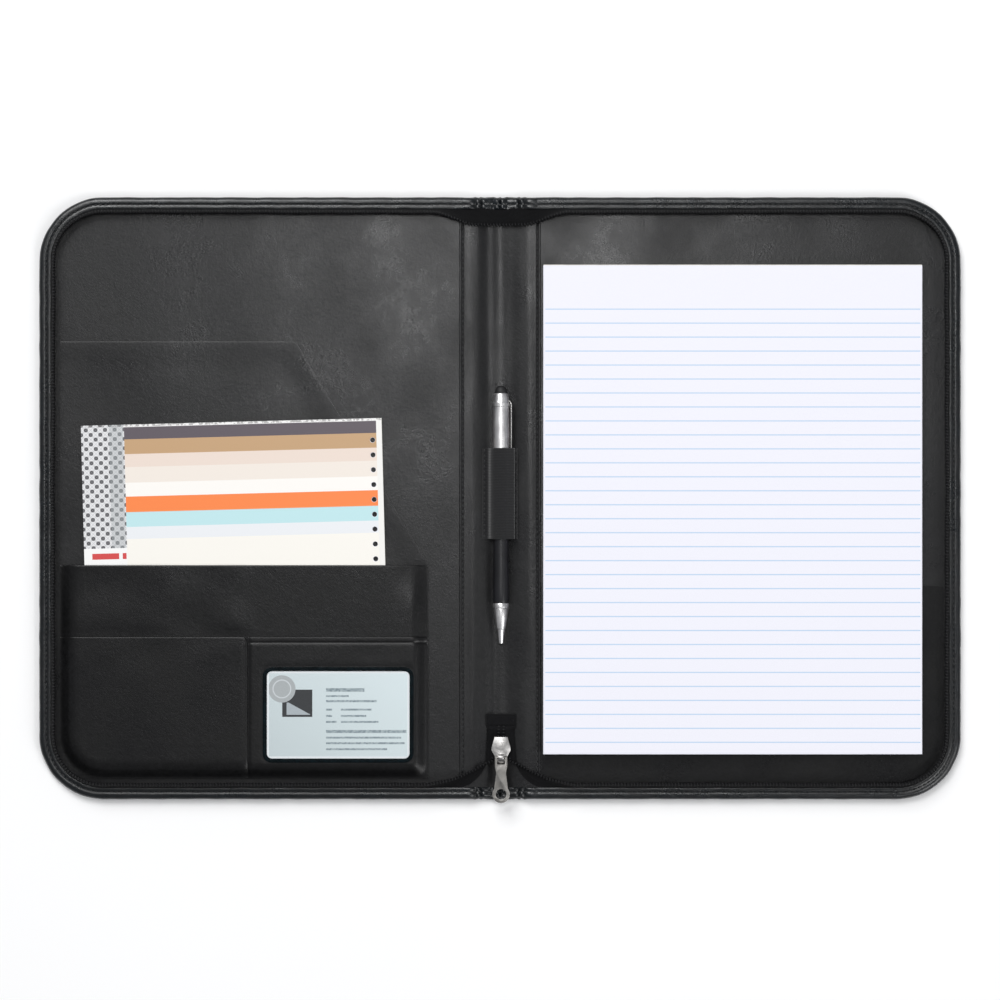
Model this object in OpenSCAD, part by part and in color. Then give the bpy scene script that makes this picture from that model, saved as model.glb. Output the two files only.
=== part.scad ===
// Zip-around portfolio case, lying open and flat on its outside.
// +X points at the back cover, +Y at the case's top edge and +Z up. The origin is on
// the underside of the spine, halfway along it. Closed, the front cover lies over the
// back cover: two folds of 90 degrees, one on each side of the spine.

/* [Writing pad] */
// Width of the writing pad, which sets how wide each cover is
pad_w = 216; // [200:1:260]
// Height of the writing pad, which sets how high the case is
pad_h = 279; // [260:1:340]
// Thickness of the pad's sheets
pad_t = 5; // [2:0.5:6]
// Thickness of the pad's card backing
backing_t = 0.6; // [0.4:0.1:1]
// From the middle of the spine to the pad
pad_from_spine = 25; // [24.5:0.5:32]
// From the pad to the fore edge of the case
pad_to_fore_edge = 23; // [18:0.5:30]
// From the pad to the top edge of the case
pad_to_top = 39.5; // [20:0.5:50]
// From the pad to the bottom edge of the case
pad_to_bottom = 26.5; // [20:0.5:40]

/* [Case] */
// Radius of the outer corners
corner_r = 37; // [20:1:50]
// Distance between the two fold lines of the spine
spine_w = 22; // [21:0.5:30]
// Height of the fold lines above the underside
fold_z = 3; // [2.8:0.1:3.4]
// Gap left at a fold line between the spine and a cover's layers
fold_gap = 1.9; // [1.9:0.1:3]
// Clearance between pieces that move against each other
play = 0.3; // [0.2:0.05:0.4]

/* [Layers] */
// Thickness of the leatherette
skin_t = 0.8; // [0.5:0.1:1.2]
// Thickness of the foam between leatherette and board
foam_t = 1; // [0.5:0.1:2]
// Thickness of a cover's board
board_t = 1.5; // [1:0.1:3]
// Thickness of the lining
lining_t = 0.5; // [0.3:0.1:0.8]
// From the middle of the spine to the seam of the spine strip
seam_x = 34; // [28:1:60]
// How far the cover's leatherette laps over the spine strip
seam_lap = 8; // [4:1:15]
// From the middle of the spine to the stitched edge of the spine lining
spine_lining_x = 23.3; // [18:0.1:24]

/* [Edge and zip] */
// Width of the edge binding on each face
binding_w = 7; // [5:0.5:8]
// Thickness of the edge binding
binding_t = 0.9; // [0.5:0.1:1.2]
// Thickness of the zip tape
tape_t = 0.5; // [0.3:0.1:0.8]
// How far the zip tape leans in between its foot and its coil
tape_lean = 2.6; // [0:0.2:3]
// Width of the zip coil
coil_w = 1.7; // [1.2:0.1:2.2]
// Height of the zip coil
coil_h = 2; // [1.5:0.1:3]
// From the middle of the spine to where the standing zip tape begins
tape_start = 26; // [25:1:50]

/* [Front pocket] */
// How far the curved pocket edge swings in from its ends
arc_depth = 26; // [10:1:40]
// From the fore edge of the case to the ends of the curved edge
arc_end = 38; // [30:1:60]

/* [Inside pockets] */
// Thickness of the pocket cloth
pocket_t = 0.5; // [0.3:0.1:0.8]
// From the case's edge to the sewn edge of the pockets
pocket_inset = 12.2; // [12:0.1:16]
// From the middle of the spine to the pockets
pocket_x = 41; // [36:1:60]
// Height of the document pocket
document_h = 250; // [200:1:260]
// Length of the document pocket's sloping edge, along X
slope_w = 76; // [30:1:100]
// Height of the middle pocket
middle_h = 122; // [100:1:160]
// Height of the two lower pockets
lower_h = 81; // [70:1:90]
// Width of the card pocket
card_pocket_w = 103; // [100:1:115]
// Width of the business card
card_w = 85.6; // [80:0.2:92]
// Height of the business card
card_h = 54; // [50:0.5:58]
// Thickness of the business card
card_t = 0.35; // [0.2:0.05:0.8]
// How much of the card the window's frame covers on each side
window_lip = 2; // [1:0.5:4]
// From the lower seam of the card pocket to the card
card_foot = 9.5; // [6:0.5:15]

/* [Notebook] */
// Width of the notebook
notebook_w = 172; // [120:1:190]
// Height of the notebook
notebook_h = 127; // [90:1:150]
// Thickness of the notebook
notebook_t = 2.4; // [1.6:0.1:4]
// Thickness of each of the notebook's covers
notebook_cover_t = 0.3; // [0.2:0.05:0.5]
// From the lower seam of the pocket to the notebook
notebook_foot = 77; // [20:1:80]
// Turn of the notebook in its pocket
notebook_turn = 1.5; // [0:0.1:2]
// Distance between the notebook's punched holes
hole_pitch = 8.5; // [6:0.1:12]

/* [Pen] */
// Radius of the pen's upper barrel
pen_r = 5; // [4:0.1:5]
// Length of the upper barrel
upper_l = 60; // [45:1:65]
// Length of the lower barrel
lower_l = 60; // [40:1:60]
// Length of the tip cone
cone_l = 23; // [15:1:25]
// Length of the stylus end
stylus_l = 4.5; // [3:0.5:8]
// From the middle of the spine to the pen's axis
pen_x = 0.6; // [-1:0.1:0.6]
// Length of the elastic pen loop
loop_l = 52; // [20:1:60]
// Thickness of the elastic
elastic_t = 0.7; // [0.5:0.1:0.9]

/* [Slider] */
// Length of the slider
slider_l = 15; // [12:0.5:18]
// Width of the slider
slider_w = 10.8; // [9:0.2:13]
// From the bottom edge of the case to the middle of the slider
slider_up = 28.5; // [27:0.5:40]
// Length of the pull, from its pin
pull_l = 26; // [20:0.5:32]
// Width of the pull's ring end
pull_w = 10; // [8:0.5:12]

/* [Hidden] */
$fn = 64;

// Overall sizes
half_w = pad_from_spine + pad_w + pad_to_fore_edge;
case_h = pad_to_bottom + pad_h + pad_to_top;
half_h = case_h / 2;
fold_x = spine_w / 2;
spine_edge = fold_x - play;
cover_start = fold_x + fold_gap;

// Heights of a cover's layers, from the underside up
foam_z = 2 * skin_t;
board_z = foam_z + foam_t;
lining_z = board_z + board_t;
cover_top = lining_z + lining_t;
tape_top = cover_top + tape_t;
binding_h = tape_top + binding_t;
closing_z = fold_z + spine_w / 2;
coil_top = closing_z - play / 2;
wall_top = coil_top - coil_h;
channel_inset = binding_t + 0.2;

// The tape's wall starts where the binding ends
wall_in = binding_w + 0.1;
// The standing tape on the spine is kept narrow, so that it clears the closing covers
spine_wall_half = spine_edge - (binding_h - fold_z) - 2 * play;
spine_wall_top = 9.5;

// Pockets
pocket_far = half_w - pocket_inset;
pocket_foot = pocket_inset - half_h;
notebook_z = cover_top + pocket_t + 0.1;
middle_z = notebook_z + notebook_t + 0.1;
card_z = middle_z + pocket_t + 0.05;
lower_z = card_z + card_t + 0.05;
split_x = pocket_x + card_pocket_w;
window_r = 3;
film_t = 0.25;
cheek_t = 0.8;
// Width of the strip along which a pocket's foot is sewn down
sewn_w = 2.5;
// Gap between the two lower pockets
split_gap = 0.2;

// Notebook's middle, and its holes
notebook_x = (pocket_x + pocket_far) / 2 + 5.7;
hole_inset = 5.4;

// Pad on the back cover: backing, slot panel, sheets
pad_foot = pad_to_bottom - half_h;
backing_z = cover_top + 0.05;
slot_z = backing_z + backing_t + 0.05;
sheets_z = slot_z + pocket_t + 0.05;
slot_h = 110;
glue_t = 0.4;

// Pen, with its joint between the barrels in the middle of the case
pen_z = fold_z + pen_r + 0.2;
upper_bore_r = pen_r - 1.3;
spigot_r = upper_bore_r - play;
spigot_l = 8;
lower_r = pen_r - 0.3;
refill_r = 1.9;
refill_bore_r = refill_r + play;
tip_r = 0.7;
tip_bore_r = tip_r + play;
cone_end_r = tip_bore_r + 0.6;
shoulder_l = 12;
clip_gap = 0.3;
clip_t = 1.2;
clip_l = 38;
clip_w = 3;
loop_y = 2.7;

// Slider and pull
slider_y = slider_up - half_h;
slider_z = fold_z + 1.3;
plate_t = 1.2;
slider_gap = 2.6;
slider_top = slider_z + 2 * plate_t + slider_gap;
lug_r = 1.9;
lug_w = 3;
pin_r = 0.7;
pin_z = slider_top + lug_r - 0.2;
pin_y = slider_y - 4;
pull_t = 1.4;
pull_window = 4;
tab_w = 15;
tab_l = 12.5;
tab_gap = 0.6;
tab_y = slider_y + slider_l / 2 + tab_gap;
tails_w = 14;

// ---- Helpers -------------------------------------------------------------

// Draws for the back cover, or mirrored for the front cover
module on_front() mirror([1, 0, 0]) children();

// Outline of a cover from x = start to the edge, less an inset
module cover_outline(start, inset) {
    x = half_w - corner_r;
    y = half_h - corner_r;
    translate([start, inset - half_h]) square([x - start, case_h - 2 * inset]);
    translate([start, -y]) square([half_w - inset - start, 2 * y]);
    for (side = [-1, 1]) translate([x, side * y]) circle(corner_r - inset);
}

// Flat layer of a cover
module layer(z, t, start, inset) {
    translate([0, 0, z]) linear_extrude(t) cover_outline(start, inset);
}

// Flat layer of the spine, stopping short of its ends by an inset
module spine_layer(z, t, inset) {
    translate([-spine_edge, inset - half_h, z])
        cube([2 * spine_edge, case_h - 2 * inset, t]);
}

// Sweeps a profile of (distance in from the edge, height) round a cover's edge
module rim(start) {
    x = half_w - corner_r;
    y = half_h - corner_r;
    translate([half_w, y, 0]) rotate([90, 0, 0]) linear_extrude(2 * y)
        mirror([1, 0]) children();
    for (side = [0, 1]) mirror([0, side, 0]) {
        translate([x, y, 0]) rotate_extrude(angle = 90)
            translate([corner_r, 0]) mirror([1, 0]) children();
        edge_run(start, x) children();
    }
}

// Sweeps the same kind of profile straight along the top edge
module edge_run(start, end) {
    translate([start, half_h, 0]) rotate([90, 0, 90]) linear_extrude(end - start)
        mirror([1, 0]) children();
}

// Binding folded round an edge whose layers reach up to a height
module binding_profile(top) {
    difference() {
        square([binding_w, top + binding_t]);
        translate([channel_inset - 0.1, skin_t]) square([binding_w, top - skin_t]);
    }
}

// Zip tape: a foot under the binding and a wall that leans in as it rises
module tape_profile(foot_z, top) {
    translate([channel_inset, foot_z]) square([wall_in + tape_t - channel_inset, tape_t]);
    polygon([
        [wall_in, foot_z], [wall_in + tape_t, foot_z],
        [wall_in + tape_t + tape_lean, top], [wall_in + tape_lean, top]]);
}

module coil_profile() {
    translate([wall_in + tape_lean - 0.2, wall_top]) square([coil_w, coil_h]);
}

// Rectangle with round corners
module round_rect(w, h, r) {
    translate([-w / 2, r - h / 2]) square([w, h - 2 * r]);
    translate([r - w / 2, -h / 2]) square([w - 2 * r, h]);
    for (x = [-1, 1], y = [-1, 1]) translate([x * (w / 2 - r), y * (h / 2 - r)]) circle(r);
}

// ---- Covers --------------------------------------------------------------

module cover_foam() layer(foam_z, foam_t, cover_start, channel_inset);

module cover_board() layer(board_z, board_t, cover_start, channel_inset);

module cover_lining() layer(lining_z, lining_t, cover_start, channel_inset);

module cover_binding() rim(cover_start) binding_profile(tape_top);

module cover_tape() rim(tape_start) tape_profile(cover_top, wall_top);

module cover_coil() rim(tape_start) coil_profile();

module spine_wing() {
    translate([cover_start, channel_inset - half_h, skin_t])
        cube([seam_x + seam_lap - cover_start, case_h - 2 * channel_inset, skin_t]);
}

module hinge_lining() {
    clear_of_tape = wall_in + tape_t + play;
    translate([cover_start, clear_of_tape - half_h, cover_top])
        cube([spine_lining_x - cover_start, case_h - 2 * clear_of_tape, lining_t]);
}

module back_cover_skin() color("#26313c") layer(0, skin_t, seam_x, binding_w);

module back_cover_foam() color("#d8d6cf") {
    cover_foam();
    layer(skin_t, skin_t, seam_x + seam_lap, channel_inset);
}

module back_cover_board() color("#8a7a62") cover_board();

module back_cover_lining() color("#2c2c2e") cover_lining();

module back_binding() color("#1d2226") cover_binding();

module back_zip_tape() color("#151517") cover_tape();

module back_zip_coil() color("#0d0d0f") cover_coil();

module back_spine_wing() color("#192123") spine_wing();

module back_hinge_lining() color("#242426") hinge_lining();

// Lining panel that the pad's backing slides behind, open along its upper edge
module pad_slot_panel() color("#2a2a2c") {
    start = spine_lining_x + 0.4;
    intersection() {
        translate([start, pocket_foot, slot_z]) cube([half_w, slot_h, pocket_t]);
        layer(slot_z, pocket_t, 0, pocket_inset);
    }
    // Its sewn lower edge goes down to the lining
    translate([start, pocket_foot, cover_top])
        cube([half_w - corner_r - start, sewn_w, slot_z - cover_top]);
}

module front_cover_skin() color("#38444f") on_front()
    layer(skin_t, skin_t, seam_x + seam_lap, channel_inset);

// Outer panel whose curved edge is the mouth of the front slip pocket
module front_pocket_panel() color("#2c3742") on_front() {
    chord = case_h - 2 * binding_w;
    arc_r = (pow(chord / 2, 2) + pow(arc_depth, 2)) / (2 * arc_depth);
    linear_extrude(skin_t) difference() {
        translate([seam_x, -chord / 2]) square([half_w - arc_end - seam_x, chord]);
        translate([half_w - arc_end - arc_depth + arc_r, 0]) circle(arc_r, $fn = 256);
    }
}

module front_cover_foam() color("#d8d6cf") on_front() cover_foam();

module front_cover_board() color("#8a7a62") on_front() cover_board();

module front_cover_lining() color("#2c2c2e") on_front() cover_lining();

module front_binding() color("#1d2226") on_front() cover_binding();

module front_zip_tape() color("#151517") on_front() cover_tape();

module front_zip_coil() color("#0d0d0f") on_front() cover_coil();

module front_spine_wing() color("#192123") on_front() spine_wing();

module front_hinge_lining() color("#242426") on_front() hinge_lining();

// ---- Pockets inside the front cover -------------------------------------

module document_pocket() color("#303033") on_front() intersection() {
    far = pocket_far - pocket_x;
    translate([pocket_x, pocket_foot, cover_top]) linear_extrude(pocket_t) polygon([
        [0, 0], [far, 0], [far, document_h], [slope_w, document_h], [0, middle_h]]);
    layer(cover_top, pocket_t, 0, pocket_inset);
}

// Raised pocket with closed sides and foot, open along its upper edge
module middle_pocket() color("#2b2b2d") on_front() {
    z = cover_top + pocket_t;
    difference() {
        intersection() {
            translate([pocket_x, pocket_foot, z])
                cube([pocket_far - pocket_x, middle_h, middle_z + pocket_t - z]);
            layer(z, middle_z + pocket_t - z, 0, pocket_inset);
        }
        intersection() {
            translate([pocket_x + cheek_t, pocket_foot + cheek_t, z - 1])
                cube([half_w, middle_h, middle_z - z + 1]);
            layer(z - 1, middle_z - z + 1, 0, pocket_inset + cheek_t);
        }
    }
}

module lower_pocket() color("#29292b") on_front() {
    z = middle_z + pocket_t;
    intersection() {
        union() {
            translate([split_x + split_gap, pocket_foot, lower_z])
                cube([half_w, lower_h, pocket_t]);
            // Sewn down along its foot
            translate([split_x + split_gap, pocket_foot, z])
                cube([half_w, sewn_w, lower_z - z]);
        }
        layer(z, lower_z + pocket_t - z, 0, pocket_inset);
    }
}

// Card pocket with a window cut through it, sewn down along its foot
module card_pocket() color("#29292b") on_front() {
    z = middle_z + pocket_t;
    translate([pocket_x, pocket_foot, 0]) difference() {
        union() {
            translate([0, 0, lower_z]) cube([card_pocket_w, lower_h, pocket_t]);
            translate([0, 0, z]) cube([card_pocket_w, sewn_w, lower_z - z]);
        }
        translate([card_pocket_w / 2, card_foot + card_h / 2, z]) linear_extrude(5)
            window_outline();
    }
}

module window_outline() {
    round_rect(card_w - 2 * window_lip, card_h - 2 * window_lip, window_r);
}

module card_window() color("#e6eef0", 0.4) on_front()
    translate([pocket_x + card_pocket_w / 2, pocket_foot + card_foot + card_h / 2, lower_z])
        linear_extrude(film_t) window_outline();

module business_card() color("#d5e2e8") on_front()
    translate([pocket_x + card_pocket_w / 2, pocket_foot + card_foot + card_h / 2, card_z])
        linear_extrude(card_t) round_rect(card_w, card_h, 3);

// ---- Spine ---------------------------------------------------------------

module spine_strip() color("#192123") spine_layer(0, skin_t, binding_w);

module spine_board() color("#8a7a62")
    spine_layer(skin_t, fold_z - skin_t - lining_t, channel_inset);

module spine_lining() color("#242426") spine_layer(fold_z - lining_t, lining_t, channel_inset);

module spine_binding() edge_run(-spine_edge, spine_edge) binding_profile(fold_z + tape_t);

module spine_binding_top() color("#1d2226") spine_binding();

module spine_binding_bottom() color("#1d2226") mirror([0, 1, 0]) spine_binding();

// The tape across the top of the spine joins the two halves of the zip
module spine_zip_tape() color("#151517") {
    edge_run(-spine_wall_half, spine_wall_half) tape_profile(fold_z, spine_wall_top);
}

// The two tape ends lie side by side on the spine, under the slider
module zip_tape_tails() color("#151517")
    translate([pen_x - tails_w / 2, binding_w + 0.2 - half_h, fold_z])
        cube([tails_w, tab_y - binding_w - 0.4 + half_h, tape_t]);

module zip_end_tab() color("#121214") translate([pen_x - tab_w / 2, tab_y, fold_z]) {
    difference() {
        cube([tab_w, tab_l, 2.4]);
        translate([1.5, -1, 0.8]) cube([tab_w - 3, 4, 0.8]);
    }
}

// Elastic over the pen and its clip, with a foot sewn down on each side
module pen_loop() color("#101012")
    translate([0, loop_y + loop_l / 2, 0]) rotate([90, 0, 0]) linear_extrude(loop_l)
        difference() {
            union() {
                intersection() {
                    loop_section(elastic_t);
                    translate([-fold_x, fold_z]) square(spine_w);
                }
                translate([-spine_edge + 0.2, fold_z])
                    square([2 * spine_edge - 0.4, elastic_t]);
            }
            loop_section(0);
        }

module loop_section(more) {
    hull() {
        translate([pen_x, pen_z]) circle(pen_r + play + more);
        translate([pen_x + pen_r + clip_gap + clip_t / 2, pen_z])
            square([clip_t + 2 * (play + more), clip_w + 2 * (play + more)], center = true);
        translate([pen_x - pen_r - more, fold_z]) square([2 * (pen_r + more), 1]);
    }
}

// ---- Slider and pull -----------------------------------------------------

// Six-sided outline, narrow at its upper end and blunt-pointed at the pull's end
module slider_outline() hull() {
    translate([-slider_w / 2, 0]) square([slider_w, 1.5]);
    translate([-slider_w * 0.34, slider_l / 2 - 1]) square([slider_w * 0.68, 1]);
    translate([-lug_w / 2, -slider_l / 2]) square([lug_w, 1]);
}

module zip_slider() color("#c9ccd0") translate([pen_x, slider_y, 0]) difference() {
    flange = 1;
    union() {
        for (z = [slider_z, slider_z + plate_t + slider_gap])
            translate([0, 0, z]) linear_extrude(plate_t) slider_outline();
        // Side flanges guide the coils, and the post parts them
        for (side = [-1, 1]) translate([side * (slider_w * 0.8 - flange) / 2, 0, slider_z])
            translate([-flange / 2, 0, 0])
                cube([flange, slider_l * 0.3, 2 * plate_t + slider_gap]);
        translate([-1.2, -slider_l / 2, slider_z]) cube([2.4, 4, 2 * plate_t + slider_gap]);
        // Lug for the pull's pin
        translate([-lug_w / 2, pin_y - slider_y, pin_z]) rotate([0, 90, 0])
            cylinder(h = lug_w, r = lug_r);
        translate([-lug_w / 2, pin_y - slider_y - lug_r, slider_top - plate_t])
            cube([lug_w, 2 * lug_r, plate_t + lug_r - 0.4]);
    }
    translate([-lug_w, pin_y - slider_y, pin_z]) rotate([0, 90, 0])
        cylinder(h = 2 * lug_w, r = pin_r + play);
}

module zip_pull() color("#d2d5d9") translate([pen_x, pin_y, pin_z]) {
    frame_w = 7;
    window_w = 4.4;
    waist_w = 5.4;
    ring_r = pull_w / 2;
    window_end = pull_window + 1.2;
    rotate([0, 90, 0]) cylinder(h = frame_w, r = pin_r, center = true);
    translate([0, 0, -pull_t / 2]) linear_extrude(pull_t) difference() {
        union() {
            translate([-frame_w / 2, -window_end]) square([frame_w, window_end]);
            translate([0, ring_r - pull_l]) circle(ring_r);
            hull() {
                translate([-frame_w / 2, -window_end]) square([frame_w, 0.5]);
                translate([-waist_w / 2, -window_end - 4]) square([waist_w, 1]);
            }
            hull() {
                translate([-waist_w / 2, -window_end - 4]) square([waist_w, 1]);
                translate([0, ring_r - pull_l]) circle(ring_r * 0.86);
            }
        }
        translate([-window_w / 2, -pull_window]) square([window_w, pull_window + 1]);
        translate([0, ring_r - pull_l]) circle(ring_r - 2);
    }
}

// ---- Pen -----------------------------------------------------------------

// Turns a shape made along +Z to lie along +Y on the pen's axis
module on_pen_axis() translate([pen_x, 0, pen_z]) rotate([-90, 0, 0]) children();

module pen_upper_barrel() color("#c4c7cb") on_pen_axis() difference() {
    union() {
        cylinder(h = upper_l - 2, r = pen_r);
        translate([0, 0, upper_l - 2]) cylinder(h = 2, r = pen_r - 0.8);
    }
    translate([0, 0, -1]) cylinder(h = upper_l - 6, r = upper_bore_r);
}

module pen_clip() color("#d0d3d6")
    translate([pen_x + pen_r, upper_l - 4, pen_z - clip_w / 2]) {
        translate([-0.3, -3, 0]) cube([clip_gap + clip_t + 0.3, 3, clip_w]);
        translate([clip_gap, -clip_l, 0]) cube([clip_t, clip_l, clip_w]);
    }

module pen_stylus() color("#141416") on_pen_axis() {
    dome_r = pen_r - 1.6;
    translate([0, 0, upper_l]) cylinder(h = stylus_l - 2, r = dome_r);
    translate([0, 0, upper_l + stylus_l - 2]) rotate_extrude() intersection() {
        circle(2);
        square([2, 2]);
    }
}

module pen_lower_barrel() color("#17171a") on_pen_axis() difference() {
    union() {
        translate([0, 0, -lower_l]) cylinder(h = lower_l - play, r = lower_r);
        translate([0, 0, -1]) cylinder(h = spigot_l + 1, r = spigot_r);
    }
    translate([0, 0, -lower_l - 1]) cylinder(h = lower_l + spigot_l + 2, r = refill_bore_r);
}

module pen_cone() color("#c9ccd0") on_pen_axis() translate([0, 0, -lower_l]) rotate_extrude()
    polygon([
        [refill_bore_r, 0], [lower_r - 0.1, 0], [lower_r - 0.1, -2],
        [cone_end_r, -cone_l], [tip_bore_r, -cone_l], [tip_bore_r, -shoulder_l - 2],
        [refill_bore_r, -shoulder_l - 2]]);

module pen_refill() color("#9aa0a6") on_pen_axis() {
    refill_foot = -lower_l - shoulder_l + 3;
    translate([0, 0, refill_foot]) cylinder(h = 45 - refill_foot, r = refill_r);
    translate([0, 0, -lower_l - cone_l + 0.8])
        cylinder(h = refill_foot + lower_l + cone_l, r = tip_r);
}

// ---- Writing pad ---------------------------------------------------------

module pad_sheets() color("#f2f2f8")
    translate([pad_from_spine, pad_foot, sheets_z]) cube([pad_w, pad_h, pad_t]);

module pad_backing() color("#9c8f78")
    translate([pad_from_spine, pad_foot, backing_z]) cube([pad_w, pad_h, backing_t]);

// Glue along the top edge holds the sheets to the backing
module pad_glue_edge() color("#e4e2dc")
    translate([pad_from_spine, pad_foot + pad_h, backing_z])
        cube([pad_w, glue_t, sheets_z + pad_t - backing_z]);

// ---- Notebook ------------------------------------------------------------

// Places a shape drawn round the notebook's middle
module at_notebook(z)
    translate([-notebook_x, pocket_foot + notebook_foot + notebook_h / 2, z])
        rotate([0, 0, notebook_turn]) children();

module notebook_leaf(z, t, w, h, hole_r) at_notebook(z) linear_extrude(t) difference() {
    square([w, h], center = true);
    rows = floor((notebook_h - 10) / hole_pitch / 2);
    for (i = [-rows:rows])
        translate([notebook_w / 2 - hole_inset, i * hole_pitch]) circle(hole_r);
}

module notebook_cover() color("#e8dfd2")
    notebook_leaf(notebook_z + notebook_t - notebook_cover_t, notebook_cover_t,
        notebook_w, notebook_h, 1.6);

module notebook_pages() color("#f6f4ef")
    notebook_leaf(notebook_z + notebook_cover_t, notebook_t - 2 * notebook_cover_t,
        notebook_w - 1.5, notebook_h - 1, 1.4);

module notebook_back() color("#d9d2c4")
    notebook_leaf(notebook_z, notebook_cover_t, notebook_w, notebook_h, 1.6);

back_cover_skin();
back_cover_foam();
back_cover_board();
back_cover_lining();
back_binding();
back_zip_tape();
back_zip_coil();
back_spine_wing();
back_hinge_lining();
pad_slot_panel();
front_cover_skin();
front_pocket_panel();
front_cover_foam();
front_cover_board();
front_cover_lining();
front_binding();
front_zip_tape();
front_zip_coil();
front_spine_wing();
front_hinge_lining();
document_pocket();
middle_pocket();
lower_pocket();
card_pocket();
card_window();
spine_strip();
spine_board();
spine_lining();
spine_binding_top();
spine_binding_bottom();
spine_zip_tape();
zip_tape_tails();
zip_end_tab();
pen_loop();
zip_slider();
zip_pull();
pen_upper_barrel();
pen_clip();
pen_stylus();
pen_lower_barrel();
pen_cone();
pen_refill();
pad_sheets();
pad_backing();
pad_glue_edge();
notebook_cover();
notebook_pages();
notebook_back();
business_card();
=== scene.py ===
"""Zip-around portfolio case: soft goods, stitches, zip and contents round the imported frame."""
from math import cos, pi, radians, sin
import bmesh
import bpy
import numpy as np
from bpy.props import FloatProperty, FloatVectorProperty, IntProperty, PointerProperty
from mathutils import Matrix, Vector


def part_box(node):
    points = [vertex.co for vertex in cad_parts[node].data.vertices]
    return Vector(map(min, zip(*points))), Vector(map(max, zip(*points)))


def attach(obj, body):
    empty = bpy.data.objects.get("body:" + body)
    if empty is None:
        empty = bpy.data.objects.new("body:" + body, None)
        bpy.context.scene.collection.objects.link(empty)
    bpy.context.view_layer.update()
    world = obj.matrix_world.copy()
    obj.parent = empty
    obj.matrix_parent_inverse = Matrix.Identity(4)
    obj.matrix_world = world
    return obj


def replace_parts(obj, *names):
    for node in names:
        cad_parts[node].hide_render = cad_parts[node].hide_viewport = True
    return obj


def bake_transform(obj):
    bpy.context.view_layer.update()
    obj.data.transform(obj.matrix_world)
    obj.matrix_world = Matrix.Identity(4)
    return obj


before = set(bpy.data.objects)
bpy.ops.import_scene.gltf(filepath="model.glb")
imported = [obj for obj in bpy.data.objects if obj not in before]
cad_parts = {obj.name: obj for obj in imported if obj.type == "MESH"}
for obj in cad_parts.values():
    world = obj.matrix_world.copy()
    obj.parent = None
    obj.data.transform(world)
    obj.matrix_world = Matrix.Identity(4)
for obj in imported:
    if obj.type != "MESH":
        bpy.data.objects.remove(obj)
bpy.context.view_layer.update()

bl_info = {
    "name": "Portfolio case",
    "version": (1, 0, 0),
    "blender": (4, 5, 0),
    "location": "3D View > Sidebar > Case",
    "description": "Builds the leather, zip, pockets and contents of a portfolio case",
    "category": "Object",
}

MM = 0.001
X, Y, Z = 0, 1, 2


def low(node, axis):
    """Lowest coordinate of a CAD node, in millimetres."""
    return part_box(node)[0][axis] / MM


def high(node, axis):
    """Highest coordinate of a CAD node, in millimetres."""
    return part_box(node)[1][axis] / MM


def middle(node, axis):
    """Middle of a CAD node, in millimetres."""
    return (low(node, axis) + high(node, axis)) / 2


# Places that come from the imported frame, in millimetres. Shapes are worked out as the back
# cover has them, at x > 0, and the front cover's are mirrored.
HALF_W = high("back_binding", X)
HALF_H = high("back_binding", Y)
EDGE_TOP = high("back_binding", Z)
SPINE_EDGE_TOP = high("spine_binding_top", Z)
BOARD_Z = low("back_cover_board", Z)
LINING_Z = low("back_cover_lining", Z)
COVER_TOP = high("back_cover_lining", Z)
SPINE_TOP = high("spine_lining", Z)
FOLD_X = (high("spine_strip", X) + low("back_cover_lining", X)) / 2 - 0.8
LINING_X = high("back_hinge_lining", X)
SEAM_X = low("back_cover_skin", X)
SKIN_T = high("back_cover_skin", Z)
COIL_FOOT = low("back_zip_coil", Z)
POCKET_X = -high("document_pocket", X)
POCKET_FAR = -low("document_pocket", X)
POCKET_FOOT = low("document_pocket", Y)
DOCUMENT_TOP = high("document_pocket", Y)
MIDDLE_TOP = high("middle_pocket", Y)
LOWER_TOP = high("lower_pocket", Y)
MIDDLE_Z = high("middle_pocket", Z)
LOWER_Z = high("lower_pocket", Z)
SPLIT_X = -low("card_pocket", X)
PEN_X = middle("pen_upper_barrel", X)
PEN_Z = middle("pen_upper_barrel", Z)
ZIP_X = middle("zip_slider", X)

# Distances of the rows of stitches from the edges that they hold
BINDING_SEAM = 4.4
TURNED_SEAM = 4.5
MOUTH_SEAM = 3.0
LINING_SEAM = 2.0

# How far inside the case's outline the binding, the panels and the spine lining end
BINDING_TUCK = 6.9
PANEL_INSET = 5.2
SPINE_LINING_INSET = 6.2


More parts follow.
